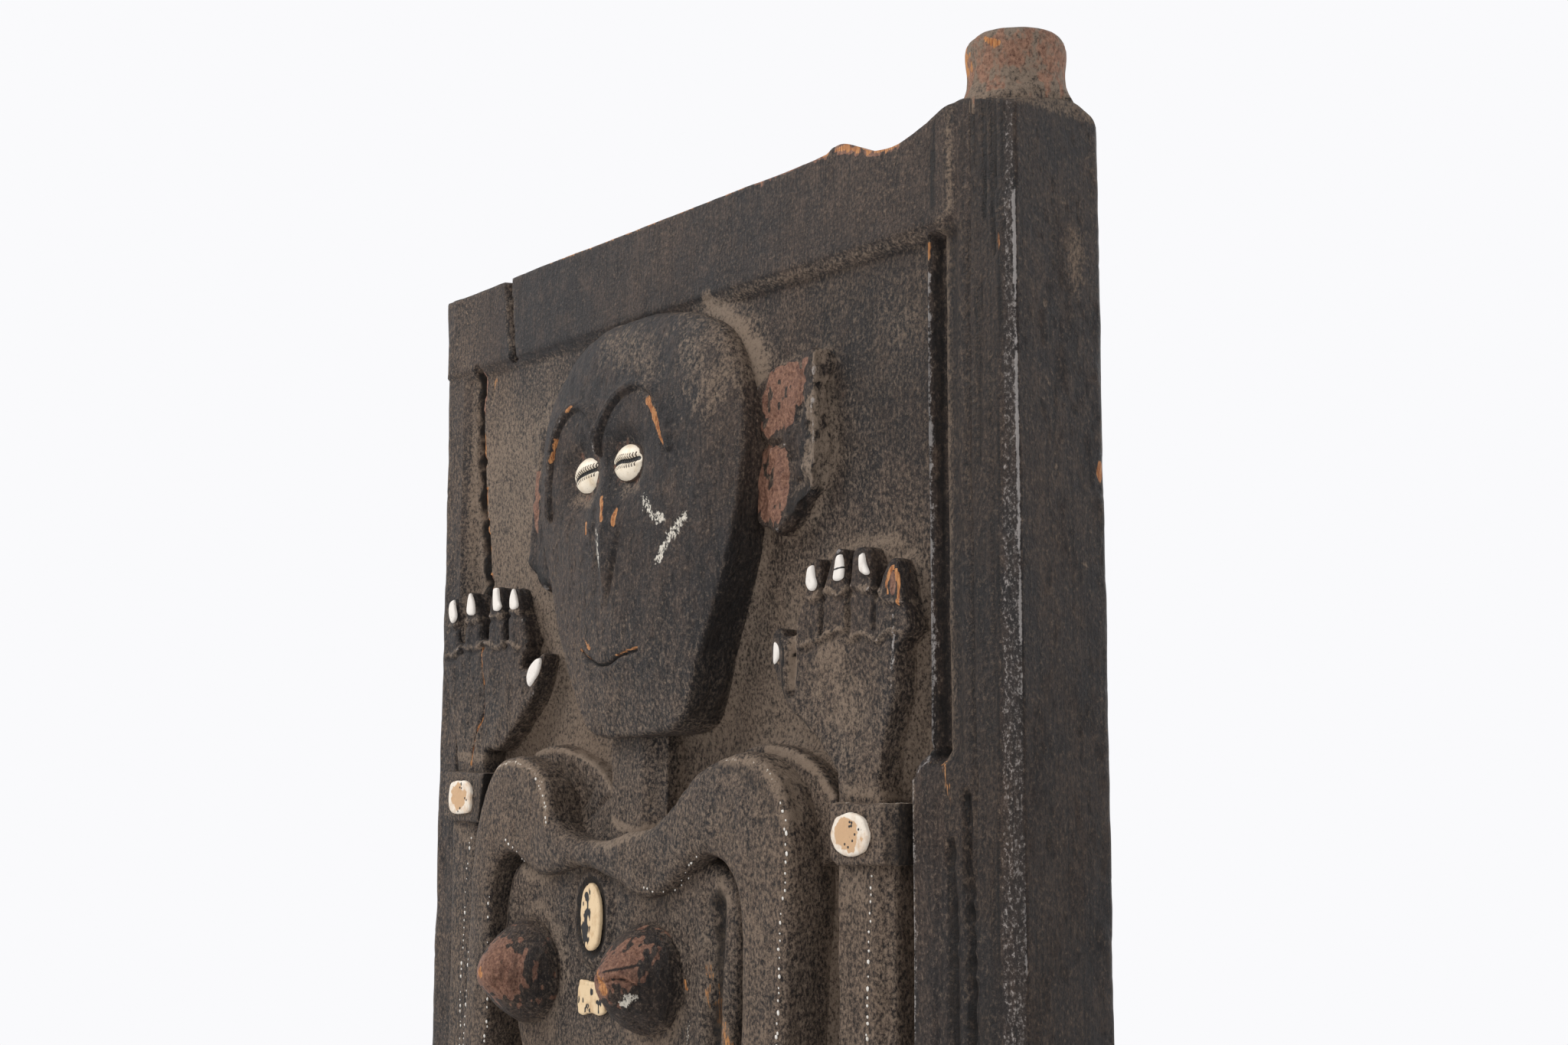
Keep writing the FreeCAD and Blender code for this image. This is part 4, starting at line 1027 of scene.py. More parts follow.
def head_and_ears() -> list[CarvedForm]:
    """Return the head and the ears."""
    upper_red = ((-134, 624), (-109, 623), (-115, 611), (-123, 597), (-140, 594), (-149, 600), (-148, 611))
    lower_red = ((-144, 588), (-129, 584), (-127, 572), (-128, 558), (-132, 552), (-146, 556), (-152, 566),
                 (-150, 584))
    return [
        CarvedForm("head", (HEAD,), 12.0, 0.98, root=18.0, rounding=3.2, drop=1.8, seed=6,
                   rough=(0.6, 0.3, 0.45), wall_soot_and_shade=0.6, wall_soot_and_shade_below=610.0, stains=face_stains(),
                   strokes=(Crown(HEAD, 78.0, 8.0), Shoulder((HEAD,), 24.0, 7.0, 570.0)) + face_strokes()),
        CarvedForm("right_ear", (RIGHT_EAR,), 0.6, 0.9, root=20.0, rounding=2.4, drop=1.6, seed=7,
                   rough=(1.9, 1.4, 1.0), wall_soot_and_shade=0.1,
                   strokes=(Step((-106, 640), (-122, 540), 9.0, 3.0),
                            Stroke(((-152, 590), (-130, 588), (-124, 580)), 3.0, -2.2),
                            Hollow((-108, 590), (8, 20), -3.2), Hollow((-114, 566), (12, 10), -4.0),
                            Stroke(((-101, 626), (-103, 600), (-102, 578)), 2.4, 1.6)),
                   stains=(Stain(Layer.RED, upper_red, 2.6, 0.85, 1.6, True),
                           Stain(Layer.RED, lower_red, 2.6, 0.85, 1.6, True),
                           # The soot in the ear's lower hollow is also painted shade.
                           Stain(Layer.SOOT_AND_SHADE, ((-122, 556), (-112, 566)), 5, 0.7, 0.8),
                           Stain(Layer.DUST, ((-104, 600), (-108, 570)), 8, 0.8, 0.8),
                           Stain(Layer.DUST, ((-101, 628), (-103, 600), (-102, 580)), 2.0, 0.9, 0.6))),
        CarvedForm("left_ear", (LEFT_EAR,), -3.0, 1.1, root=18.0, rounding=5.0, drop=3.0, seed=8,
                   rough=(2.0, 1.2, 0.6), wall_soot_and_shade=0.2,
                   stains=(Stain(Layer.RED, ((-352, 600), (-350, 570)), 5, 0.8, 0.9),
                           Stain(Layer.SOOT_AND_SHADE, ((-352, 546), (-340, 540)), 6, 0.9, 0.4))),
    ]


@dataclass(frozen=True)
class Wedge:
    """A wedge with a sharp ridge, from stations of height in the door, middle, half width and rise."""

    stations: tuple[tuple[float, float, float, float], ...]

    def lift(self, x: Values, z: Values) -> Values:
        """Return the rise of the wedge at each place."""
        heights, middles, halves, rises = (np.array(column) for column in zip(*self.stations))
        middle, half, rise = (np.interp(z, heights, values) for values in (middles, halves, rises))
        return rise * np.clip(1 - np.abs(x - middle) / half, 0, 1) ** 0.85


LEFT_BROW = flowing(((-259, 600), (-260, 608), (-263, 615), (-271, 623), (-281, 627), (-292, 625),
                     (-301, 618), (-308, 607), (-311, 590), (-311, 572)), 4, False)
RIGHT_BROW = flowing(((-259, 600), (-258, 608), (-254, 617), (-242, 627), (-225, 630), (-209, 622),
                      (-202, 609), (-196, 594)), 4, False)
MOUTH = flowing(((-275, 497), (-268, 493), (-257, 489), (-247, 489.5), (-237, 493), (-223, 495)), 4, False)


def inside_of(brow: Path, middle: float) -> Path:
    """Return the line just under a brow, on the side of its eye."""
    return tuple((x + (middle - x) * 0.09, z - 2.6) for x, z in brow)


def face_strokes() -> tuple:
    """Return the strokes that cut the face."""
    brows = tuple(stroke for brow, middle in ((LEFT_BROW, -282), (RIGHT_BROW, -228))
                  for stroke in (Stroke(brow, 4.2, 2.6), Stroke(brow, 1.1, -1.3),
                                 Stroke(inside_of(brow, middle), 2.6, -1.6)))
    return brows + (
        Hollow((-280, 590), (32, 38), -3.4), Hollow((-230, 590), (32, 38), -3.4),
        Stroke(((-274, 589), (-274, 589.2)), 13.0, -3.4, flat=11.0),
        Stroke(((-236, 591), (-236, 591.2)), 13.0, -3.6, flat=9.0),
        Wedge(((518, -249, 2, 0), (526, -249, 4, 1.6), (536, -248.5, 6.5, 3), (548, -248, 9.5, 4.2),
               (558, -248, 10.5, 4.2), (566, -248.5, 8, 3.0), (574, -251, 5, 1.6), (582, -253, 3, 0))),
        Hollow((-241, 562), (5, 5), 1.6), Hollow((-262, 560), (5, 5), 1.6),
        Stroke(((-236, 556), (-246, 524)), 3.0, -0.9), Stroke(((-262, 556), (-252, 526)), 3.0, -0.6),
        Stroke(MOUTH, 1.4, -2.2), Stroke(tuple((x, z - 3.4) for x, z in MOUTH), 3.0, 0.6),
        Stroke(((-262, 486), (-262, 450)), 8.0, -0.8),
    )


def face_stains() -> tuple[Stain, ...]:
    """Return what shows on the face."""
    dusty = (((-195, 667), (-177, 659), (-162, 646), (-152, 630)), ((-250, 655), (-215, 640)),
             ((-185, 640), (-170, 620)))
    return stains_from({
        Layer.BARE: [
            (((-215, 620), (-209, 611), (-203, 601), (-199, 595)), 2.3, 1.0, 0.4),
            (((-303, 612), (-308, 600)), 1.4, 0.7, 0.8),
            (((-290, 625), (-284, 627)), 1.2, 0.8, 0.6),
            (((-251, 574), (-249.5, 568), (-248, 562)), 1.9, 1.0, 0.3),
            (((-240, 567), (-240, 559)), 1.7, 1.0, 0.3),
            (((-268, 563), (-268, 557)), 1.4, 0.95, 0.3),
            (((-272, 504), (-266, 498)), 1.6, 0.55, 0.8),
            (((-276, 498), (-270, 494.5), (-264, 492)), 1.0, 0.8, 0.5),
            (((-240, 493), (-230, 495.5), (-222, 496)), 0.9, 0.7, 0.6)],
        Layer.CHALK: [
            (((-253, 557), (-252, 548), (-251, 538)), 3.2, 0.47, 0.9),
            (((-216, 571), (-212, 565), (-208, 561), (-200, 558)), 4.4, 0.5, 0.8),
            (((-185, 558), (-195, 549), (-204, 538)), 4.6, 0.51, 0.35)],
        # The soot here is also painted shade: in the mouth's groove, under the brows and down the right side of
        # the nose.
        Layer.SOOT_AND_SHADE: [
            (MOUTH, 1.2, 0.95, 0.2),
            (inside_of(LEFT_BROW, -282), 2.0, 0.4, 0.6),
            (inside_of(RIGHT_BROW, -228), 2.0, 0.4, 0.6),
            (((-238, 556), (-246, 526)), 3.0, 0.3, 0.7)],
        Layer.RED: [
            (oval_line((-274, 589), (15, 12)), 3.0, 0.4, 0.9, True),
            (oval_line((-236, 591), (13, 12)), 3.0, 0.4, 0.9, True)],
        Layer.DUST: [
            *((line, 17, 0.42, 0.8) for line in dusty),
            (((-284, 578), (-268, 574)), 6, 0.5, 0.6),
            (((-236, 578), (-226, 578)), 7, 0.5, 0.6)]})


@dataclass
class Breasts:
    """The two pointed breasts, turned and then weathered."""

    stations: Path = ((26.0, -4), (27.0, 0), (26.2, 5), (24.0, 10), (20.6, 15), (16.2, 20), (11.4, 24.5),
                      (7.2, 28), (4.2, 29.4), (1.8, 30))
    voxel: float = 0.95
    proud: float = 4.5
    foot_dust: float = 0.35
    foot_height: float = 7.0

    def build(self, finishes: Finishes) -> None:
        """Model both breasts."""
        crack = flowing(((-234, 338), (-228, 334), (-218, 336), (-208, 330)), 3, False)
        self.breast(finishes, "right_breast", (-229, 334), 31, (Stroke(crack, 1.4, -1.6),
                                                                Hollow((-230, 334), (5, 4), -2.0)),
                    (Stain(Layer.RED, ((-232, 336), (-222, 342)), 20, 0.7, 0.7),
                     Stain(Layer.BARE, ((-231, 337), (-226, 332)), 4.0, 0.9, 1.0),
                     Stain(Layer.CHALK, ((-219, 324), (-214, 328)), 3.0, 0.6, 0.4),
                     Stain(Layer.SOOT_AND_SHADE, ((-226, 339), (-218, 341), (-211, 343)), 1.0, 0.9)))
        self.breast(finishes, "left_breast", (-339, 331), 32, (),
                    (Stain(Layer.RED, ((-339, 334), (-331, 332)), 24, 0.85, 0.5),
                     Stain(Layer.BARE, ((-340, 332), (-338, 330)), 3.4, 0.6, 0.9)))

    def breast(self, finishes: Finishes, name: str, centre: Point, seed: int, strokes: tuple,
               stains: tuple[Stain, ...]) -> None:
        """Model one breast round its centre in the plane of the door."""
        foot = FRONT - self.proud
        piece = turned(self.stations)
        piece.rotation_euler = (math.radians(90), 0, 0)
        piece.location = (centre[0] * MM, foot * MM, centre[1] * MM)
        activate(piece)
        bpy.ops.object.transform_apply()
        shape_skin(piece, self.voxel, 1)
        roughen(piece, (0.9, 0.35, 0.3), seed)
        if strokes:
            carve_front(piece, strokes, FRONT - self.stations[-1][1], FRONT)
        dust = self.foot_dust * ease(1 - (foot - places_of(piece)[:, 1]) / self.foot_height)
        # Its right-facing flank is painted darker: painted shade along with soot.
        Patina(wall_soot_and_shade=0.5).lay(piece, stains, {Layer.DUST: dust})
        hand_over(piece, name, finishes.wood, Slot.WOOD, BOARD)


TOP_EDGE = flowing(((-455, 716), (-420, 716.4), (-386, 717), (-380.5, 716), (-379.5, 713), (-377.5, 716.5),
                    (-371, 717.6), (-240, 718.4), (-110, 719.4), (-92, 722), (-84, 722.4), (-74, 718.6),
                    (-65, 714), (-57, 712.4), (-46, 712), (-34, 715), (-24, 718.3), (-16, 721.4),
                    (-7, 722.8), (3, 720.8), (14, 717.7), (22, 715)), 3, False)


def top_edge(x: Values) -> Values:
    """Return the height of the door's upper edge."""
    across, up = zip(*TOP_EDGE)
    return np.interp(x, across, up)


def on_stile(x: Values, z: Values) -> Values:
    """Say for each place whether it lies on the stile between the groove and the post."""
    return (x > -22) & (z < RECESS_HIGH)


@dataclass
class Plank:
    """The plank: borders, stiles, long groove and sunk ground on its face, and its adzed back."""

    left: float = -455.0
    right: float = -1.5
    low: float = 18.0
    high: float = 718.0
    back: float = 11.0
    cell: float = 2.1
    back_cell: float = 5.0
    back_thickness: float = 8.0
    wall: float = 1.5
    outlines: tuple = ()
    # The left edge leans in above this place, by so much at the top
    lean_from: float = -400.0
    lean: float = 5.0
    # The borders above and below the recess stand proud as far as the stile, round a corner at the top
    border_rise: float = 1.6
    border_end: float = -11.5
    corner: Point = (-18.0, 676.0)
    corner_radius: float = 7.0
    # The right stile's section from its long groove to the post: place across and depth
    stile: Path = ((-31.2, 0.0), (-30.4, 1.0), (-27.5, 6.5), (-24.5, 7.2), (-22.5, 5.8), (-21.0, 3.6),
                   (-14.0, 2.6), (-11.5, 1.2), (-9.0, 0.4), (-6.5, 0.8), (-4.5, 0.8), (-2.5, 0.8))
    columns: tuple[float, ...] = (RECESS_LEFT, -432, -43, -41.5, -32, -31.2, -30.4, -27.5, -22.5, -21, -14,
                                  -11.5, -3)
    # The rim goes back in these steps and is closed deeper than the scallops of the back, which hide it
    rim: tuple[float, ...] = (2.0, 7.0, 9.0, 9.0, 6.0)
    cap_depth: float = 4.6

    def lines(self, start: float, end: float, cell: float, keys: tuple[float, ...]) -> Values:
        """Spread grid lines evenly and pull the nearest ones onto the feature lines."""
        values = np.linspace(start, end, round((end - start) / cell) + 1)
        for key in keys:
            values[np.argmin(np.abs(values - key))] = key
        return np.sort(values)

    def grid(self, columns: Values, rows: Values) -> Piece:
        """Add a grid of faces with lines at given places."""
        deselect()
        bpy.ops.mesh.primitive_grid_add(x_subdivisions=len(columns) - 1, y_subdivisions=len(rows) - 1,
                                        size=1.0)
        piece = bpy.context.object
        across, up = np.meshgrid(columns, rows)
        put_places(piece, np.stack([across.ravel(), np.full(across.size, FRONT), up.ravel()], 1))
        return piece

    def settled(self, x: Values, z: Values, short: float = 0.0) -> tuple[Values, Values]:
        """Return places moved onto the leaning left edge and the wavy top edge, or short of the top."""
        lean = self.lean * np.clip((z - self.low) / (self.high - self.low), 0, 1)
        share = ease((z - RECESS_HIGH) / (self.high - RECESS_HIGH))
        start, reach = self.lean_from, self.lean_from - self.left
        across = np.where(x < start, x + lean * (start - x) / reach, x)
        return across, z + share * (top_edge(x) - self.high - short)

    def depth(self, x: Values, z: Values) -> Values:
        """Return how far the face lies behind the frame plane at each place."""
        wall = self.wall
        swell = RECESS_RIGHT + (RECESS_SWELL - RECESS_RIGHT) * ease((GROOVE_FOOT + 4 - z) / 16)
        held = np.clip((x - RECESS_LEFT) / 10.0, 0, 1) * ease((swell - x) / wall)
        held = held * ease((z - RECESS_LOW) / wall) * ease((RECESS_HIGH - z) / wall)
        border = ease((z - RECESS_HIGH - wall) / wall) * ease((self.border_end - x) / wall)
        across, up = x - self.corner[0], self.corner[1] - z
        turn = ease((self.corner_radius - np.hypot(np.maximum(across, 0), np.maximum(up, 0))) / wall)
        border *= np.where((across > 0) & (up > 0), turn, 1)
        border = np.maximum(border, ease((RECESS_LOW - wall - z) / wall) * ease((self.border_end - x) / wall))
        depth = ground_depth(x, z) * held - self.border_rise * border
        groove = np.interp(x, *zip(*self.stile))
        depth += groove * ease((RECESS_HIGH - z) / 2) * ease((z - GROOVE_FOOT + 6) / 9)
        ragged = 1 + 0.4 * unevenness(np.stack([x, x * 0, z], 1), (3, 3, 5), 77)
        for line, half, sunk in self.cuts():
            depth += sunk * ease(1 - off_line(x, z, line) / (half * ragged))
        return depth

    def cuts(self) -> tuple[tuple[Path, float, float], ...]:
        """Return the cracks and eroded grooves: each one's line, half width and depth."""
        top_crack = flowing(((-379.5, 724), (-379, 712), (-376.5, 692), (-373, 670)), 3, False)
        ground_crack = flowing(((-414, 667), (-416, 637), (-416.5, 600), (-414.5, 560), (-411, 530),
                                (-404, 505)), 4, False)
        return (
            (top_crack, 3.4, 9.0), (ground_crack, 5.0, 8.0),
            (((-425, 664), (-424, 548)), 1.8, 0.8), (((-398, 664), (-402, 650)), 2.4, 0.8),
            (((-26, 722), (-26.4, 672)), 1.4, 1.0), (((-15, 722), (-14, 690)), 1.2, 0.9),
            (((-30, 440), (-26, 441)), 5.0, 3.0),
            (flowing(((-9, 424), (-8, 390), (-7.6, 330), (-8, 240)), 4, False), 3.2, 3.4),
            (flowing(((-19, 404), (-18, 370), (-17.6, 320), (-18, 240)), 4, False), 3.4, 3.2),
            (((-27, 420), (-28, 360), (-29, 280)), 1.6, 1.0), (((-5, 660), (-4.4, 560)), 1.6, 0.7),
            (((-13, 640), (-12, 500)), 1.3, 0.6))

    def fillet(self, x: Values, z: Values) -> tuple[Values, Values]:
        """Return how the ground rises to the figure's walls, and the dust along them."""
        foot = np.min([off_line(x, z, outline[::2], True) for outline in self.outlines], 0)
        beside = off_line(x, z, HEAD, True)
        bank = 6.0 * near(beside, 9.0) * ease((z - 585) / 40) * ease((x + 250) / 70)
        dust = np.maximum(near(foot, 5.0), 1.2 * near(beside, 13.0) * (bank > 0.3))
        return np.maximum(2.0 * near(foot, 2.4), bank), dust

    def tooled(self, places: Values, front: Values) -> Values:
        """Return the front set back by tool marks, weather, worn edges and the seam to the post."""
        x, _, z = places.T
        swells = 0.8 * unevenness(places, (26, 22, 60), 2, 2) + 0.32 * unevenness(places, (6, 6, 15), 3, 2)
        pits = 0.35 * np.maximum(unevenness(places, (2.4, 2.4, 4.0), 4, 1) - 0.2, 0)
        rough = 0.5 * on_stile(x, z) + 0.6 + 0.8 * (x < RECESS_LEFT)
        streaks = 0.45 * unevenness(places, (2.6, 2.6, 60), 12, 2)
        streaks = streaks * ease((x + 44) / 8) * ease((700 - z) / 30 + 0.3)
        edge = np.minimum(np.minimum(x - self.left, self.high + 4 - z), z - self.low)
        worn = 1.6 * ease(1 - edge / 4) + streaks
        seam = 1.6 * ease((x + 4.5) / 2.0)
        return front + (swells * ease(-x / 12) + pits) * rough + worn + seam

    def face(self, finishes: Finishes) -> None:
        """Model the carved face with its edges."""
        wall = self.wall
        rows = (RECESS_LOW - wall, RECESS_LOW, RECESS_LOW + wall, RECESS_HIGH - wall, RECESS_HIGH,
                RECESS_HIGH + wall, RECESS_HIGH + 2 * wall, GROOVE_FOOT)
        piece = self.grid(self.lines(self.left, self.right, self.cell, self.columns),
                          self.lines(self.low, self.high, self.cell, rows))
        places = places_of(piece)
        x, z = places[:, 0].copy(), places[:, 2].copy()
        rise, dust = self.fillet(x, z)
        sunk = self.depth(x, z)
        ground = np.clip(sunk / 6, 0, 1)
        places[:, 1] = self.tooled(places, FRONT + sunk - rise * ground)
        places[:, 0], places[:, 2] = self.settled(x, z)
        put_places(piece, places)
        self.edges(piece)
        self.weather(piece, dust * ground)
        hand_over(piece, "plank_face", finishes.wood, Slot.WOOD, BOARD)

    def weather(self, piece: Piece, foot_dust: Values) -> None:
        """Lay dust on the ground, round the figure's foot and along the walls, and stain the rest.

        Args:
            piece: The face with its rim.
            foot_dust: Dust round the figure's foot, for the vertices before the rim's.
        """
        places = places_of(piece)
        x, y, z = places.T
        patchy = 0.5 + 0.5 * unevenness(places, (30, 30, 42), 19, 3)
        dust = np.zeros(len(places))
        dust[:len(foot_dust)] = foot_dust * 0.55 * (0.5 + patchy[:len(foot_dust)])
        sunken = ease((y - FRONT - 1.6) / 2.4) * (y < FRONT + 18) * (x > -430) * (x < RECESS_RIGHT)
        dust += sunken * (0.04 + 0.3 * patchy + 0.34 * ease((560 - z) / 60))
        dust += 0.5 * ease((-290 - x) / 60) * sunken + 0.2 * ease((-390 - x) / 40) * (1 - sunken)
        stile = on_stile(x, z)
        walls = near(z - RECESS_HIGH, 2.4) * (x < RECESS_RIGHT) + near(x + 14, 1.6) * (z > 672)
        arris = 0.8 * near(x + 20.5, 1.8) * (z > GROOVE_FOOT) * (z < RECESS_HIGH)
        dust = np.maximum(np.minimum(dust, 0.68), np.maximum(0.4 * walls * ease((x + 260) / 120), arris))
        soot = 0.5 * stile + 0.42 * ease((x + 150) / 40) * ease((z - 545) / 40) * sunken
        Patina().lay(piece, self.stains(), {Layer.DUST: dust + 0.1 * stile, Layer.SOOT_AND_SHADE: soot})

    def stains(self) -> tuple[Stain, ...]:
        """Return what shows on the face."""
        top_crack, ground_crack = (cut[0] for cut in self.cuts()[:2])
        return stains_from({
            # The soot in the cracks and grooves is also painted shade of their insides.
            Layer.SOOT_AND_SHADE: [
                (top_crack, 2.6, 0.95, 0.6),
                (tuple((x - 0.6, z) for x, z in ground_crack), 3.4, 0.95, 0.7),
                (((-27, 664), (-27, 446)), 3.4, 0.75, 0.5),
                (((-35, 441), (-24, 442)), 2.4, 0.9, 0.3),
                (((-9, 424), (-8, 330), (-8, 240)), 2.6, 0.85, 0.6),
                (((-19, 404), (-18, 320), (-18, 240)), 2.6, 0.8, 0.6),
                (((-15, 664), (-14, 560), (-12, 440)), 4.4, 0.62, 0.9),
                (((-23, 716), (-24, 679)), 2.2, 0.85, 0.5),
                (((-7, 712), (-6.4, 560), (-6, 430)), 2.0, 0.5, 1.0)],
            Layer.RED: [
                (tuple((x + 4.4, z) for x, z in ground_crack), 3.2, 0.66, 1.0),
                (((-94, 612), (-92, 590)), 8, 0.3, 0.8),
                (((-150, 720), (-98, 721), (-86, 721), (-74, 717), (-62, 712), (-50, 712), (-38, 716)),
                  3.6, 0.7, 0.9)],
            Layer.DUST: [
                (((-14.6, 716), (-13.6, 680), (-15, 673), (-22, 670)), 1.7, 0.55, 1.0),
                (((-21.8, 660), (-21.5, 560), (-21, 440)), 2.2, 0.7, 0.7),
                (((-46, 430), (-47, 380), (-48, 300)), 5, 0.8, 0.8),
                (((-190, 668), (-177, 660), (-161, 648), (-149, 632), (-148, 616)), 7, 0.95, 0.4),
                (((-90, 536), (-60, 536)), 7, 0.7, 0.6),
                (((-98, 424), (-94, 408), (-93, 398)), 6, 1.0, 0.4)],
            # The wear on the groove's edge is also a painted highlight.
            Layer.WEAR_AND_HIGHLIGHT: [
                (((-31, 652), (-31, 560), (-31, 470)), 0.8, 0.9, 0.7)],
            Layer.BARE: [
                (((-31, 664), (-31.4, 656)), 2.0, 0.8),
                (((-30, 438), (-22, 436), (-18, 420)), 2.6, 0.45, 1.0),
                (((-412, 636), (-412, 600), (-409, 550)), 2.6, 0.75, 1.1),
                (((-398, 662), (-402, 650)), 2.6, 0.45, 0.8),
                (((-94, 416), (-93, 404)), 4, 0.3, 0.6),
                (((-98, 721), (-86, 721), (-74, 717.5), (-62, 712.5), (-50, 711.5), (-38, 716)),
                  2.2, 0.75, 0.9),
                (((-340, 718.5), (-240, 719), (-120, 720)), 1.3, 0.6, 0.9),
                (((-456, 330), (-455, 290)), 2.0, 0.6, 0.9)]})

    def edges(self, piece: Piece) -> None:
        """Draw the rim of the face back to the plank's thickness and close it."""
        activate(piece)
        bpy.ops.object.mode_set(mode="EDIT")
        bpy.ops.mesh.select_mode(type="EDGE")
        bpy.ops.mesh.select_all(action="DESELECT")
        bpy.ops.mesh.select_non_manifold()
        for deep in self.rim:
            extrude(0, deep, 0)
        bpy.ops.transform.resize(value=(1, 0, 1), center_override=(0, (self.back - self.cap_depth) * MM, 0))
        bpy.ops.mesh.edge_face_add()
        bpy.ops.object.mode_set(mode="OBJECT")

    def rear(self, finishes: Finishes) -> None:
        """Model the adzed back."""
        columns = self.lines(self.left + 0.6, -8, self.back_cell, ())
        rows = self.lines(self.low + 0.4, self.high, self.back_cell, ())
        piece = self.grid(columns, rows)
        places = places_of(piece)
        x, z = places[:, 0].copy(), places[:, 2].copy()
        inner = np.minimum(np.minimum(x - columns[0], z - rows[0]), np.minimum(rows[-1] - z, 60))
        scallops = np.abs(lattice(x / 34, x * 0, z / 46 + 0.4 * lattice(x / 34, x * 0, z / 90, 5), 6))
        places[:, 1] = self.back - 0.9 - 1.2 * scallops - 2.2 * ease(1 - inner / 6)
        places[:, 0], places[:, 2] = self.settled(x, z, 0.6)
        put_places(piece, places)
        activate(piece)
        bpy.ops.object.mode_set(mode="EDIT")
        bpy.ops.mesh.select_all(action="SELECT")
        extrude(0, -self.back_thickness, 0)
        close_solid()
        roughen(piece, (0.3, 0.25, 0.2), 8)
        places = places_of(piece)
        places[:, 1] = np.minimum(places[:, 1], self.back)
        put_places(piece, places)
        Patina(hollow_gain=0.8).lay(piece)
        hand_over(piece, "plank_back", finishes.wood, Slot.WOOD, BOARD)


@dataclass
class HingePost:
    """The hinge post with its rounded back, its bevelled front arris and the two pintles."""

    half: float = 22.0
    back: float = 28.5
    foot: float = 18.0
    high: float = 722.0
    toe: float = -18.0
    tip: float = 756.0
    voxel: float = 1.4
    pintle_voxel: float = 0.9
    seam: float = -3.0
    back_rounding: float = 2.6
    bevel_drop: float = 2.6
    # Pairs of height and place across where the bevel starts
    bevel_line: Path = ((320, 8.0), (436, 9.5), (562, 13.0), (692, 15.6))
    # The top swells from front to back: pairs of depth and height over the wavy edge
    shoulder: Path = ((-27, 0.0), (-14, 3.0), (0, 6.0), (12, 8.0), (18.5, 6.4), (25, 3.4), (28.5, -2.0))
    grooves: tuple = ((((-0.5, 723), (0.0, 690)), 1.4), (((5.6, 722), (6.2, 668)), 1.6),
                      (((11.4, 721), (12.0, 650)), 1.8), (((3.0, 640), (2.4, 560)), 0.9))
    upper: Path = ((26.0, 714), (26.0, 721), (24.8, 724), (23.2, 727), (22.0, 730.5), (21.6, 735),
                   (21.7, 738), (22.1, 741), (22.4, 744), (22.4, 747), (21.9, 749.4), (20.9, 751),
                   (19.2, 752.4), (16.5, 753.6), (13, 754.6), (8, 755.4), (3, 755.8))
    lower: Path = ((21.6, 26), (21.4, 19), (20.4, 13), (20.0, 8), (20.0, -12), (18.8, -15), (14.4, -17.2),
                   (6.0, -17.9), (2.0, -18))

    def build(self, finishes: Finishes) -> None:
        """Model post and pintles."""
        self.post(finishes)
        knob_stains = (Stain(Layer.BARE, ((-14, 750), (-11, 738)), 6.5, 0.55, 1.3),
                       Stain(Layer.DUST, ((-23, 728.5), (0, 727.5), (23, 728.5)), 0.9, 0.8),
                       Stain(Layer.BARE, ((4, 748), (9, 745)), 2.4, 0.6, 1.2),
                       Stain(Layer.RED, ((-20, 740), (22, 740)), 30, 0.5, 0.8),
                       Stain(Layer.DUST, ((-22, 740), (22, 740)), 40, 0.85, 0.2))
        toe_stains = (Stain(Layer.WEAR_AND_HIGHLIGHT, ((0, 0), (0, 1)), 18, 0.3),)
        for name, stations, stains, seed in (("top_pintle", self.upper, knob_stains, 13),
                                             ("bottom_pintle", self.lower, toe_stains, 14)):
            piece = turned(stations)
            shape_skin(piece, self.pintle_voxel)
            roughen(piece, (0.3, 0.2, 0.25), seed)
            places = places_of(piece)
            in_post = (places[:, 2] > self.foot - 0.5) & (places[:, 2] < self.high + 1.5)
            places[:, 0] = np.minimum(places[:, 0], np.where(in_post, self.half - 0.9, self.half))
            places[:, 2] = np.clip(places[:, 2], self.toe, self.tip)
            put_places(piece, places)
            Patina().lay(piece, stains)
            hand_over(piece, name, finishes.wood, Slot.WOOD, BOARD)

    def post(self, finishes: Finishes) -> None:
        """Model the post."""
        deselect()
        bpy.ops.mesh.primitive_cube_add(size=1.0)
        piece = bpy.context.object
        low_corner = np.array([-self.half, FRONT, self.foot])
        size = np.array([2 * self.half, self.back - FRONT, self.high - self.foot])
        put_places(piece, low_corner + (places_of(piece) * MM + 0.5) * size)
        activate(piece)
        bpy.ops.object.mode_set(mode="EDIT")
        bpy.ops.mesh.select_mode(type="EDGE")
        bpy.ops.mesh.select_all(action="DESELECT")
        bpy.ops.object.mode_set(mode="OBJECT")
        for edge in piece.data.edges:
            a, b = (piece.data.vertices[index].co for index in edge.vertices)
            edge.select = abs(a.z - b.z) > 0.5 and min(a.y, b.y) > 0
        bpy.ops.object.mode_set(mode="EDIT")
        bpy.ops.mesh.bevel(offset=self.back_rounding * MM, segments=3, affect="EDGES")
        bpy.ops.object.mode_set(mode="OBJECT")
        shape_skin(piece, self.voxel, 1)
        self.cut(piece)
        roughen(piece, (0.55, 0.25, 0.3), 15)
        places = places_of(piece)
        places[:, 0] = np.minimum(places[:, 0], self.half)
        places[:, 1] = np.minimum(places[:, 1], self.back)
        put_places(piece, places)
        self.weather(piece)
        hand_over(piece, "hinge_post", finishes.wood, Slot.WOOD, BOARD)

    def bevel_start(self, z: Values) -> Values:
        """Return where the bevel of the front arris starts across the post; it widens downwards."""
        return np.interp(z, *zip(*self.bevel_line))

    def bevel(self, x: Values, z: Values) -> Values:
        """Return how far the smooth bevel of the front arris lies behind the frame plane."""
        start = self.bevel_start(z)
        slope = np.clip((x - start) / (self.half - start), 0, 1)
        return self.bevel_drop * slope + 0.5 * ease((x - start) / 1.5)

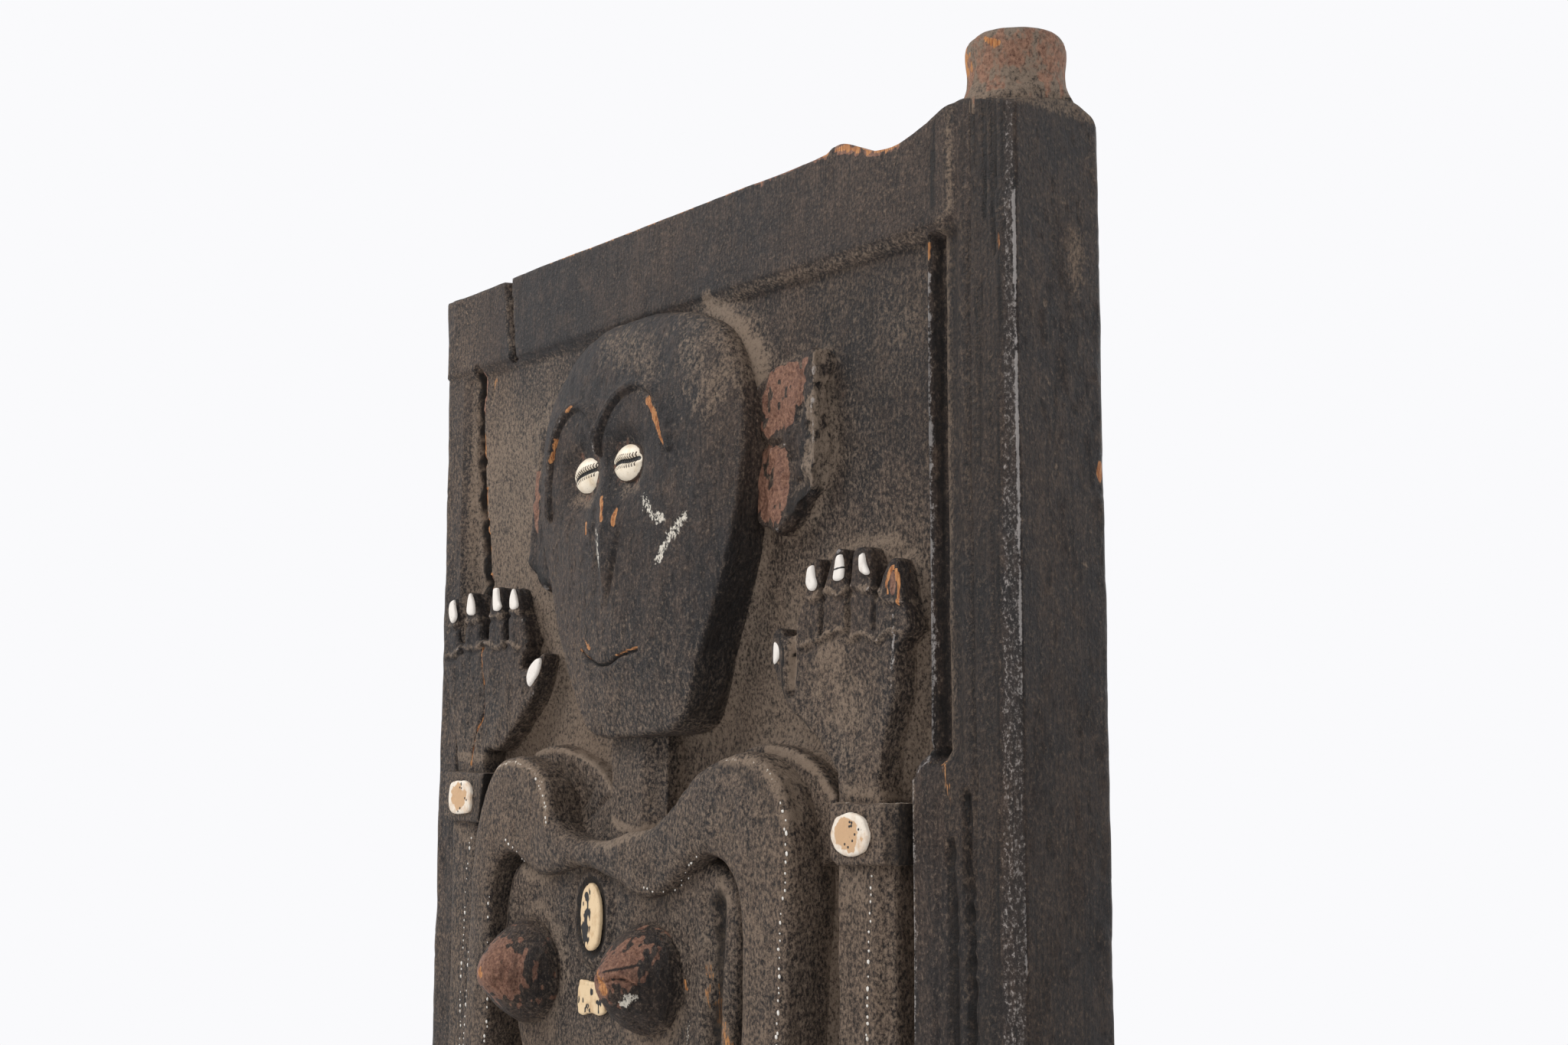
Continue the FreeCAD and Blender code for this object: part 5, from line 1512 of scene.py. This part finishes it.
    def cut(self, piece: Piece) -> None:
        """Cut the post's top, its bevel and the eroded grain of its front."""
        places = places_of(piece)
        x, y, z = places[:, 0].copy(), places[:, 1].copy(), places[:, 2].copy()
        share = np.clip((z - 690) / (self.high - 690), 0, 1)
        places[:, 2] = z + share * (top_edge(x) + np.interp(y, *zip(*self.shoulder)) - self.high)
        front = np.clip((FRONT + 8 - y) / 8, 0, 1)
        streaks = 0.5 * unevenness(places, (2.4, 2.4, 70), 12, 2) * ease((14 - x) / 6)
        step = 0.7 * ease((x - 8) / 2) * ease((z - 676) / 3) - 0.5 * ease((676 - z) / 3)
        hidden = 5.0 * ease((self.seam - x) / 1.5)
        grooves = sum(deep * ease(1 - off_line(x, z, line) / 1.6) for line, deep in self.grooves)
        places[:, 1] = y + front * (self.bevel(x, z) + streaks + step + hidden + grooves + 0.2)
        put_places(piece, places)

    def weather(self, piece: Piece) -> None:
        """Lay the silvery arris and the paler bevel as painted highlight and sheen along with wear, the chips,
        the scuffs, and the soot in the grooves, which is also painted shade.
        """
        places = places_of(piece)
        x, y, z = places.T
        side, front, start = x > 15, y < FRONT + 3, self.bevel_start(z)
        chip = np.maximum(spot(y - 25, z - 561, (4, 9)) * side,
                          0.8 * spot(x - 14.5, z - 655, (1.4, 9)) * (y < FRONT + 4))
        # The pale arris line and the paler strip over the bevel are painted highlight and sheen, laid as wear.
        arris = 0.95 * near(x - 21.8, 0.9) * near(y - FRONT - 2.4, 0.8)
        arris *= 0.88 + 0.25 * unevenness(places, (4, 4, 26), 63, 2)
        arris = np.maximum(arris, 0.39 * ease((x - start - 0.6) / 1.5) * (y < FRONT + 3.2))
        dust = 0.6 * ease((z - top_edge(x) + 2) / 4) + 0.6 * spot(y - 12, z - 652, (9, 26)) * side
        dust = np.maximum(dust, 0.06 * (front & (x < start)))
        scuffs = ((-7.4, 630, 3.0), (-6.0, 596, 1.6), (6.0, 676, 1.2), (-2, 560, 2.0), (14, 520, 1.6))
        for deep, up, half in scuffs:
            dust = np.maximum(dust, 0.9 * spot(y - deep, z - up, (1.2, half), 1.3) * side)
        soot = 0.8 * near(x - start - 0.3, 0.8) * front
        for line, _ in self.grooves:
            soot = np.maximum(soot, 0.8 * ease(1.2 - off_line(x, z, line) / 1.3) * (y < FRONT + 4))
        smoky_side = 0.36 * side + 0.14 * side * ease((640 - z) / 300)
        soot = np.maximum(soot, np.where(front & (x < start), 0.52, smoky_side))
        for deep, up in ((-1.8, 675), (10, 585)):
            soot = np.maximum(soot, spot(y - deep, z - up, (1.6, 1.4), 1.4) * side)
        red = 0.4 * spot(x - 4, z - 684, (4, 9))
        rubbed_top = Stain(Layer.BARE, ((-2, 722), (8, 721)), 1.2, 0.5, 0.8)
        Patina().lay(piece, (rubbed_top,), {Layer.BARE: chip, Layer.WEAR_AND_HIGHLIGHT: arris, Layer.SOOT_AND_SHADE: soot,
                                            Layer.RED: red, Layer.DUST: dust})


def middle_of(node: str) -> tuple[float, float, float, float, float]:
    """Return a node's middle, half sizes and foot: x, z, half width, half height, and y of its back."""
    low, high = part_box(node)
    low, high = low / MM, high / MM
    return (low.x + high.x) / 2, (low.z + high.z) / 2, (high.x - low.x) / 2, (high.z - low.z) / 2, high.y


NAILS = {
    "left_nail_little": ((-433.5, 536.2), (-437.2, 534.8), (-438.4, 530.7), (-437.2, 525.8), (-434.3, 522.7),
                         (-430.2, 525.7), (-431.2, 530.9), (-432.8, 535.5)),
    "left_nail_ring": ((-414.5, 538.7), (-416.6, 535.3), (-417.8, 528.6), (-416.2, 526.5), (-413.8, 525.9),
                       (-409.7, 526.6), (-410.1, 532.1), (-412.6, 536.7)),
    "left_nail_middle": ((-386, 539.6), (-388.2, 538.9), (-388.7, 534.6), (-388.1, 527.9), (-386.4, 526.5),
                         (-383.2, 526.4), (-380, 528.8), (-382.1, 532.1), (-383.4, 538.6)),
    "left_nail_index": ((-367.5, 537.4), (-369.3, 534.4), (-370.2, 530.6), (-369.6, 526.8), (-366.1, 525.7),
                        (-362.3, 527.5), (-363.3, 532), (-365.6, 536.6)),
    "left_nail_thumb": ((-349.7, 482.4), (-352.6, 487.2), (-350, 493), (-344, 496.8), (-339.2, 497.1),
                        (-340, 491.9), (-344.5, 486)),
    "right_nail_index": ((-105.8, 528), (-109, 526.7), (-110.3, 520.1), (-107.8, 516.6), (-104.8, 516.7),
                         (-103.1, 519.5), (-104.6, 523.7), (-105.1, 526.8)),
    "right_nail_middle": ((-86, 531.2), (-88.7, 530.3), (-90.1, 525), (-91, 520.2), (-87.3, 519.4),
                          (-84.4, 521), (-84.4, 527), (-85.1, 530.2)),
    "right_nail_ring": ((-71.8, 530.2), (-73.3, 529.2), (-73.2, 524.2), (-72.3, 522.1), (-69.3, 520.6),
                        (-67, 521.4), (-69.1, 525.6), (-70.2, 530)),
    "right_nail_thumb": ((-134.5, 494.8), (-135.4, 491), (-135.4, 486), (-134.2, 483.8), (-131.4, 486.4),
                         (-129.8, 490.5), (-131.6, 493.6))}


@dataclass
class Inlays:
    """The pale inlays: two slit eyes, two wrist discs, the chest oval, the belly square and nine nails."""

    eye_rise: float = 6.4
    teeth: int = 11
    teeth_span: float = 17.6
    thickness: float = 2.2
    nail_thickness: float = 1.7
    specks: int = 9

    def build(self, finishes: Finishes) -> None:
        """Model every inlay on its node's place."""
        for side, slit in (("left", ((-10.5, -2.6), (-4, -0.2), (2, 0.9), (10.5, 2.4))),
                           ("right", ((-10.5, -0.6), (-3, 0.6), (4, 0.2), (10.5, 1.0)))):
            self.eye(finishes, side + "_eye_shell", slit)
        for name, seed in (("left_wrist_disc", 51), ("right_wrist_disc", 52)):
            self.disc(finishes, name, finishes.disc, seed, 0.8)
        self.disc(finishes, "chest_oval", finishes.oval, 53, 0.0)
        self.square(finishes)
        for index, node in enumerate(sorted(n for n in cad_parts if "_nail_" in n)):
            self.nail(finishes, node, index)

    def ring(self, across: float, up: float, half_x: float, half_z: float, seed: int, square: float) -> Path:
        """Return a slightly uneven oval, the squarer the higher its last number."""
        wobble = random.Random(seed)
        points = []
        for step in range(16):
            turn = math.tau * step / 16
            c, s = math.cos(turn), math.sin(turn)
            far = (abs(c) ** square + abs(s) ** square) ** (-1 / square) * (1 + 0.03 * wobble.uniform(-1, 1))
            points.append((across + half_x * far * c, up + half_z * far * s))
        return flowing(tuple(points), 4)

    def eye(self, finishes: Finishes, node: str, slit: Path) -> None:
        """Model a domed shell with a toothed slit."""
        across, up, half_x, half_z, foot = middle_of(node)
        deselect()
        bpy.ops.mesh.primitive_uv_sphere_add(segments=48, ring_count=32, radius=1.0)
        piece = bpy.context.object
        places = places_of(piece) * MM
        places *= np.array([half_x - 0.6, self.eye_rise, half_z - 0.4])
        places[:, 1] = np.minimum(places[:, 1], 0.0)
        put_places(piece, places + np.array([across, foot, up]))
        shape_skin(piece, 0.36)
        line = flowing(tuple((across + a, up + b) for a, b in slit), 4, False)
        strokes = [Stroke(line, 2.3, -2.8, flat=0.2), Stroke(line, 4.6, 0.7)]
        for index in range(self.teeth):
            x = across + self.teeth_span * (index / (self.teeth - 1) - 0.5)
            z = np.interp(x, *zip(*line))
            strokes.append(Stroke(((x - 0.3, z - 3.4), (x + 0.3, z + 3.4)), 0.55, -1.0))
        carve_front(piece, tuple(strokes), foot - self.eye_rise, foot)
        places = places_of(piece)
        x, z = places[:, 0], places[:, 2]
        rim = np.hypot((x - across) / (half_x - 0.6), (z - up) / (half_z - 0.4))
        mouth = ease(1.5 - off_line(x, z, line) / 1.1)
        teeth = np.zeros(len(places))
        for stroke in strokes[2:]:
            teeth = np.maximum(teeth, ease(1.3 - off_line(x, z, stroke.path) / 0.55))
        grime = np.maximum(0.8 * teeth, ease((rim - 0.86) / 0.12) + 0.35 * ease(1 - np.abs(z - up - 4) / 2))
        # The slit's inside is painted black: painted shade along with grime.
        Patina(hollow_gain=0.4).lay(piece, (), {Layer.SOOT_AND_SHADE: mouth, Layer.DUST: grime})
        hand_over(piece, node.replace("_shell", "_cowrie"), finishes.shell, Slot.SHELL, node)

    def plate(self, outline: Path, foot: float, thickness: float, voxel: float, shaping: tuple, rough: Triple,
              seed: int) -> Piece:
        """Saw a thin plate, shape its front and roughen it."""
        piece = board(outline, foot - thickness, foot)
        shape_skin(piece, voxel, 1)
        carve_front(piece, shaping, foot - thickness, foot)
        roughen(piece, rough, seed)
        return piece

    def disc(self, finishes: Finishes, node: str, material: Material, seed: int, heart: float) -> None:
        """Model a flat oval inlay with a worn rim."""
        across, up, half_x, half_z, foot = middle_of(node)
        square = 3.4 if node == "left_wrist_disc" else 2.3
        if node == "chest_oval":
            half_x *= 0.88
        outline = self.ring(across, up, half_x - 0.5, half_z - 0.5, seed, square)
        shaping = (Shoulder((outline,), 1.6, 0.8), Crown(outline, 6.0, 0.25))
        piece = self.plate(outline, foot, self.thickness, 0.42, shaping, (0.12, 0.16, 0.25), seed)
        places = places_of(piece)
        far = np.hypot((places[:, 0] - across) / half_x, (places[:, 2] - up) / half_z)
        centre = heart * ease((0.86 - far + 0.22 * unevenness(places, (3, 3, 3), seed, 2)) / 0.3)
        eaten = np.zeros(len(places))
        if node == "chest_oval":
            hollow = flowing(((across - 3, up + 11), (across - 1, up + 2), (across - 4, up - 5),
                              (across - 3, up - 12)), 4, False)
            eaten = 0.9 * ease(1.1 - off_line(places[:, 0], places[:, 2], hollow) / 3.4
                               + 0.9 * unevenness(places, (1.6, 1.6, 4), seed, 2))
        else:
            pick = random.Random(seed)
            for _ in range(self.specks):
                turn, reach = pick.uniform(-2.2, 1.4), pick.uniform(0.35, 0.9)
                speck_x = across + half_x * reach * math.cos(turn)
                speck_z = up + half_z * reach * math.sin(turn)
                eaten = np.maximum(eaten, spot(places[:, 0] - speck_x, places[:, 2] - speck_z, (0.7, 0.7), 1.4))
        Patina(hollow_gain=0.3).lay(piece, (), {Layer.BARE: centre, Layer.SOOT_AND_SHADE: eaten})
        hand_over(piece, node + "_bone", material, Slot.PALE, node)

    def square(self, finishes: Finishes) -> None:
        """Model the square belly inlay with ragged edges."""
        across, up, half_x, half_z, foot = middle_of("belly_square")
        x, z = half_x - 0.5, half_z - 0.5
        outline = flowing(((across - x, up - z), (across - x, up + z * 0.8), (across - x * 0.7, up + z),
                           (across, up + z * 0.93), (across + x, up + z), (across + x * 0.94, up),
                           (across + x, up - z * 0.7), (across + x * 0.5, up - z), (across, up - z * 0.9)), 3)
        shaping = (Shoulder((outline,), 1.4, 0.7),)
        piece = self.plate(outline, foot, self.thickness, 0.45, shaping, (0.15, 0.2, 0.3), 54)
        places = places_of(piece)
        specks = 0.9 * ease(1.6 * unevenness(places, (2.0, 2.0, 4.5), 55, 2) - 0.15)
        Patina(hollow_gain=0.3).lay(piece, (), {Layer.SOOT_AND_SHADE: specks})
        hand_over(piece, "belly_square_bone", finishes.oval, Slot.PALE, "belly_square")

    def nail(self, finishes: Finishes, node: str, index: int) -> None:
        """Model a pointed nail, domed and rubbed."""
        foot = middle_of(node)[-1]
        outline = flowing(NAILS[node], 3)
        shaping = (Shoulder((outline,), 1.2, 0.7), Crown(outline, 2.4, 0.4))
        piece = self.plate(outline, foot, self.nail_thickness, 0.34, shaping, (0.1, 0.12, 0.16), 60 + index)
        crack = Stain(Layer.SOOT_AND_SHADE, ((-92, 524.2), (-84, 525.2)), 0.6, 0.9, 0.2)
        Patina(hollow_gain=0.3).lay(piece, (crack,))
        hand_over(piece, node + "_bone", finishes.nail, Slot.NAIL, node)


@dataclass
class Stipple:
    """The rows of small white dots along shoulders, arms and forearms."""

    rows: tuple[Path, ...] = (
        ((-116, 420), (-112, 411), (-111, 397), (-112, 383), (-115, 362), (-116, 342), (-118, 300),
         (-120, 250)),
        ((-223, 379), (-211, 377), (-197, 383), (-187, 391), (-177, 395), (-165, 392), (-154, 386),
         (-148, 376), (-147, 352), (-149, 300), (-150, 250)),
        ((-65, 389), (-66, 372), (-67, 350), (-68, 300), (-68, 270)),
        ((-406, 400), (-410, 372), (-412, 342), (-413, 300), (-412, 270)),
        ((-370, 372), (-370, 338), (-371, 290), (-373, 250)),
        ((-390, 372), (-392, 330), (-393, 290), (-394, 250)),
        ((-322, 432), (-316, 426), (-312, 418), (-310, 408)), ((-311, 412), (-310, 407)),
        ((-351, 399), (-341, 393), (-331, 385), (-322, 382)))
    spacing: float = 3.9
    radius: float = 0.62
    sizes: tuple[float, ...] = (0.7, 0.85, 1.0, 1.15, 1.5)
    astray: Point = (1.4, 0.5)
    lost: float = 0.14
    before: float = -90.0
    sunk: float = 0.02

    def build(self, finishes: Finishes, carriers: list[Piece]) -> None:
        """Set every dot on the wood that carries it."""
        dice = random.Random(12)
        trees = [BVHTree.FromObject(carrier, bpy.context.evaluated_depsgraph_get()) for carrier in carriers]
        deselect()
        bpy.ops.mesh.primitive_ico_sphere_add(subdivisions=1, radius=1.0)
        dot = bpy.context.object
        shape = places_of(dot) * MM
        faces = [tuple(face.vertices) for face in dot.data.polygons]
        bpy.data.objects.remove(dot)
        corners, polygons = [], []
        for row in self.rows:
            line = np.array(flowing(row, 8, False))
            along = np.concatenate([[0], np.cumsum(np.hypot(*np.diff(line, axis=0).T))])
            for stop in np.arange(0, along[-1], self.spacing):
                far = stop + dice.uniform(-self.astray[0], self.astray[0])
                x, z = (np.interp(far, along, line[:, axis]) + dice.uniform(-self.astray[1], self.astray[1])
                        for axis in (0, 1))
                size = self.radius * dice.choice(self.sizes)
                if dice.random() < self.lost:
                    continue
                source = Vector((x * MM, self.before * MM, z * MM))
                hits = [tree.ray_cast(source, Vector((0, 1, 0))) for tree in trees]
                depths = [hit[0].y / MM for hit in hits if hit[0] is not None]
                if depths:
                    start = len(corners) * len(shape)
                    stretch = np.array([size, 0.5 * size, size * dice.uniform(0.9, 1.5)])
                    corners.append(shape * stretch + np.array([x, min(depths) - self.sunk, z]))
                    polygons += [tuple(start + corner for corner in face) for face in faces]
        mesh = bpy.data.meshes.new("white_stipple")
        mesh.from_pydata((np.concatenate(corners) * MM).tolist(), [], polygons)
        piece = bpy.data.objects.new("white_stipple", mesh)
        bpy.context.scene.collection.objects.link(piece)
        Patina(hollow_gain=0.0).lay(piece)
        hand_over(piece, "white_stipple", finishes.chalk, Slot.PALE)


@dataclass
class Studio:
    """Pale floor, soft lamps and the camera."""

    place: Triple = (0.590, -0.609, 0.426)
    tilt: float = 97.656
    heading: float = 51.005
    lens: float = 45.7
    daylight: float = 0.78
    floor_radius: float = 2.0
    floor_top: float = -18.2
    aim: Triple = (-0.2, 0.0, 0.45)
    # Each lamp's name, place, size and power
    lamps: tuple = (("key", (-1.5, -1.5, 2.1), 1.2, 44.0), ("fill", (2.4, -1.2, 0.9), 2.2, 19.0),
                    ("back", (-0.6, 2.2, 1.6), 2.0, 26.0))

    def build(self) -> None:
        """Set the studio up."""
        scene = bpy.context.scene
        scene.view_settings.view_transform = "Standard"
        camera = bpy.data.objects.new("camera", bpy.data.cameras.new("camera"))
        camera.location = self.place
        camera.rotation_euler = (math.radians(self.tilt), 0, math.radians(self.heading))
        camera.data.lens = self.lens
        camera.data.sensor_width = 36.0
        camera.data.clip_start = 0.02
        scene.collection.objects.link(camera)
        scene.camera = camera
        deselect()
        bpy.ops.mesh.primitive_circle_add(vertices=96, radius=self.floor_radius, fill_type="NGON",
                                          location=(self.aim[0], self.aim[1], self.floor_top * MM))
        floor = bpy.context.object
        floor.name = "floor"
        bpy.ops.object.transform_apply()
        plain = bpy.data.materials.new("pale_floor")
        plain.use_nodes = True
        shader = plain.node_tree.nodes["Principled BSDF"]
        shader.inputs["Base Color"].default_value = linear("#e8e7e6")
        shader.inputs["Roughness"].default_value = 0.9
        floor.data.materials.append(plain)
        self.world(scene)
        for name, place, size, power in self.lamps:
            lamp = bpy.data.lights.new(name, "AREA")
            lamp.energy = power
            lamp.size = size
            holder = bpy.data.objects.new(name, lamp)
            holder.location = place
            holder.rotation_euler = (Vector(self.aim) - Vector(place)).to_track_quat("-Z", "Y").to_euler()
            scene.collection.objects.link(holder)

    def world(self, scene: bpy.types.Scene) -> None:
        """Make the world white behind the door and softer as a light."""
        world = bpy.data.worlds.new("studio")
        world.use_nodes = True
        scene.world = world
        tree = world.node_tree
        tree.nodes.clear()
        rays = [add_node(tree, "LightPath", {}, name)
                for name in ("Is Camera Ray", "Is Glossy Ray", "Is Transmission Ray")]
        seen = add_node(tree, "Math", {0: rays[0], 1: rays[1]}, operation="MAXIMUM")
        seen = add_node(tree, "Math", {0: seen, 1: rays[2]}, operation="MAXIMUM")
        light = add_node(tree, "Background", {0: linear("#f1f1f4"), 1: self.daylight})
        white = add_node(tree, "Background", {0: linear("#fafafc"), 1: 1.0})
        mix = add_node(tree, "MixShader", {0: seen, 1: light, 2: white})
        add_node(tree, "OutputWorld", {0: mix}, None)


def main() -> None:
    """Build the door, piece by piece."""
    logging.basicConfig(level=logging.INFO, format="%(message)s")
    finishes = Finishes()
    forms = head_and_ears() + trunk() + hands() + legs()
    plank = Plank(outlines=tuple(line for form in forms for line in form.outlines))
    plank.face(finishes)
    plank.rear(finishes)
    HingePost().build(finishes)
    carriers = [form.build(finishes) for form in forms]
    Breasts().build(finishes)
    Inlays().build(finishes)
    Stipple().build(finishes, carriers)
    Studio().build()


if __name__ == "__main__":
    main()
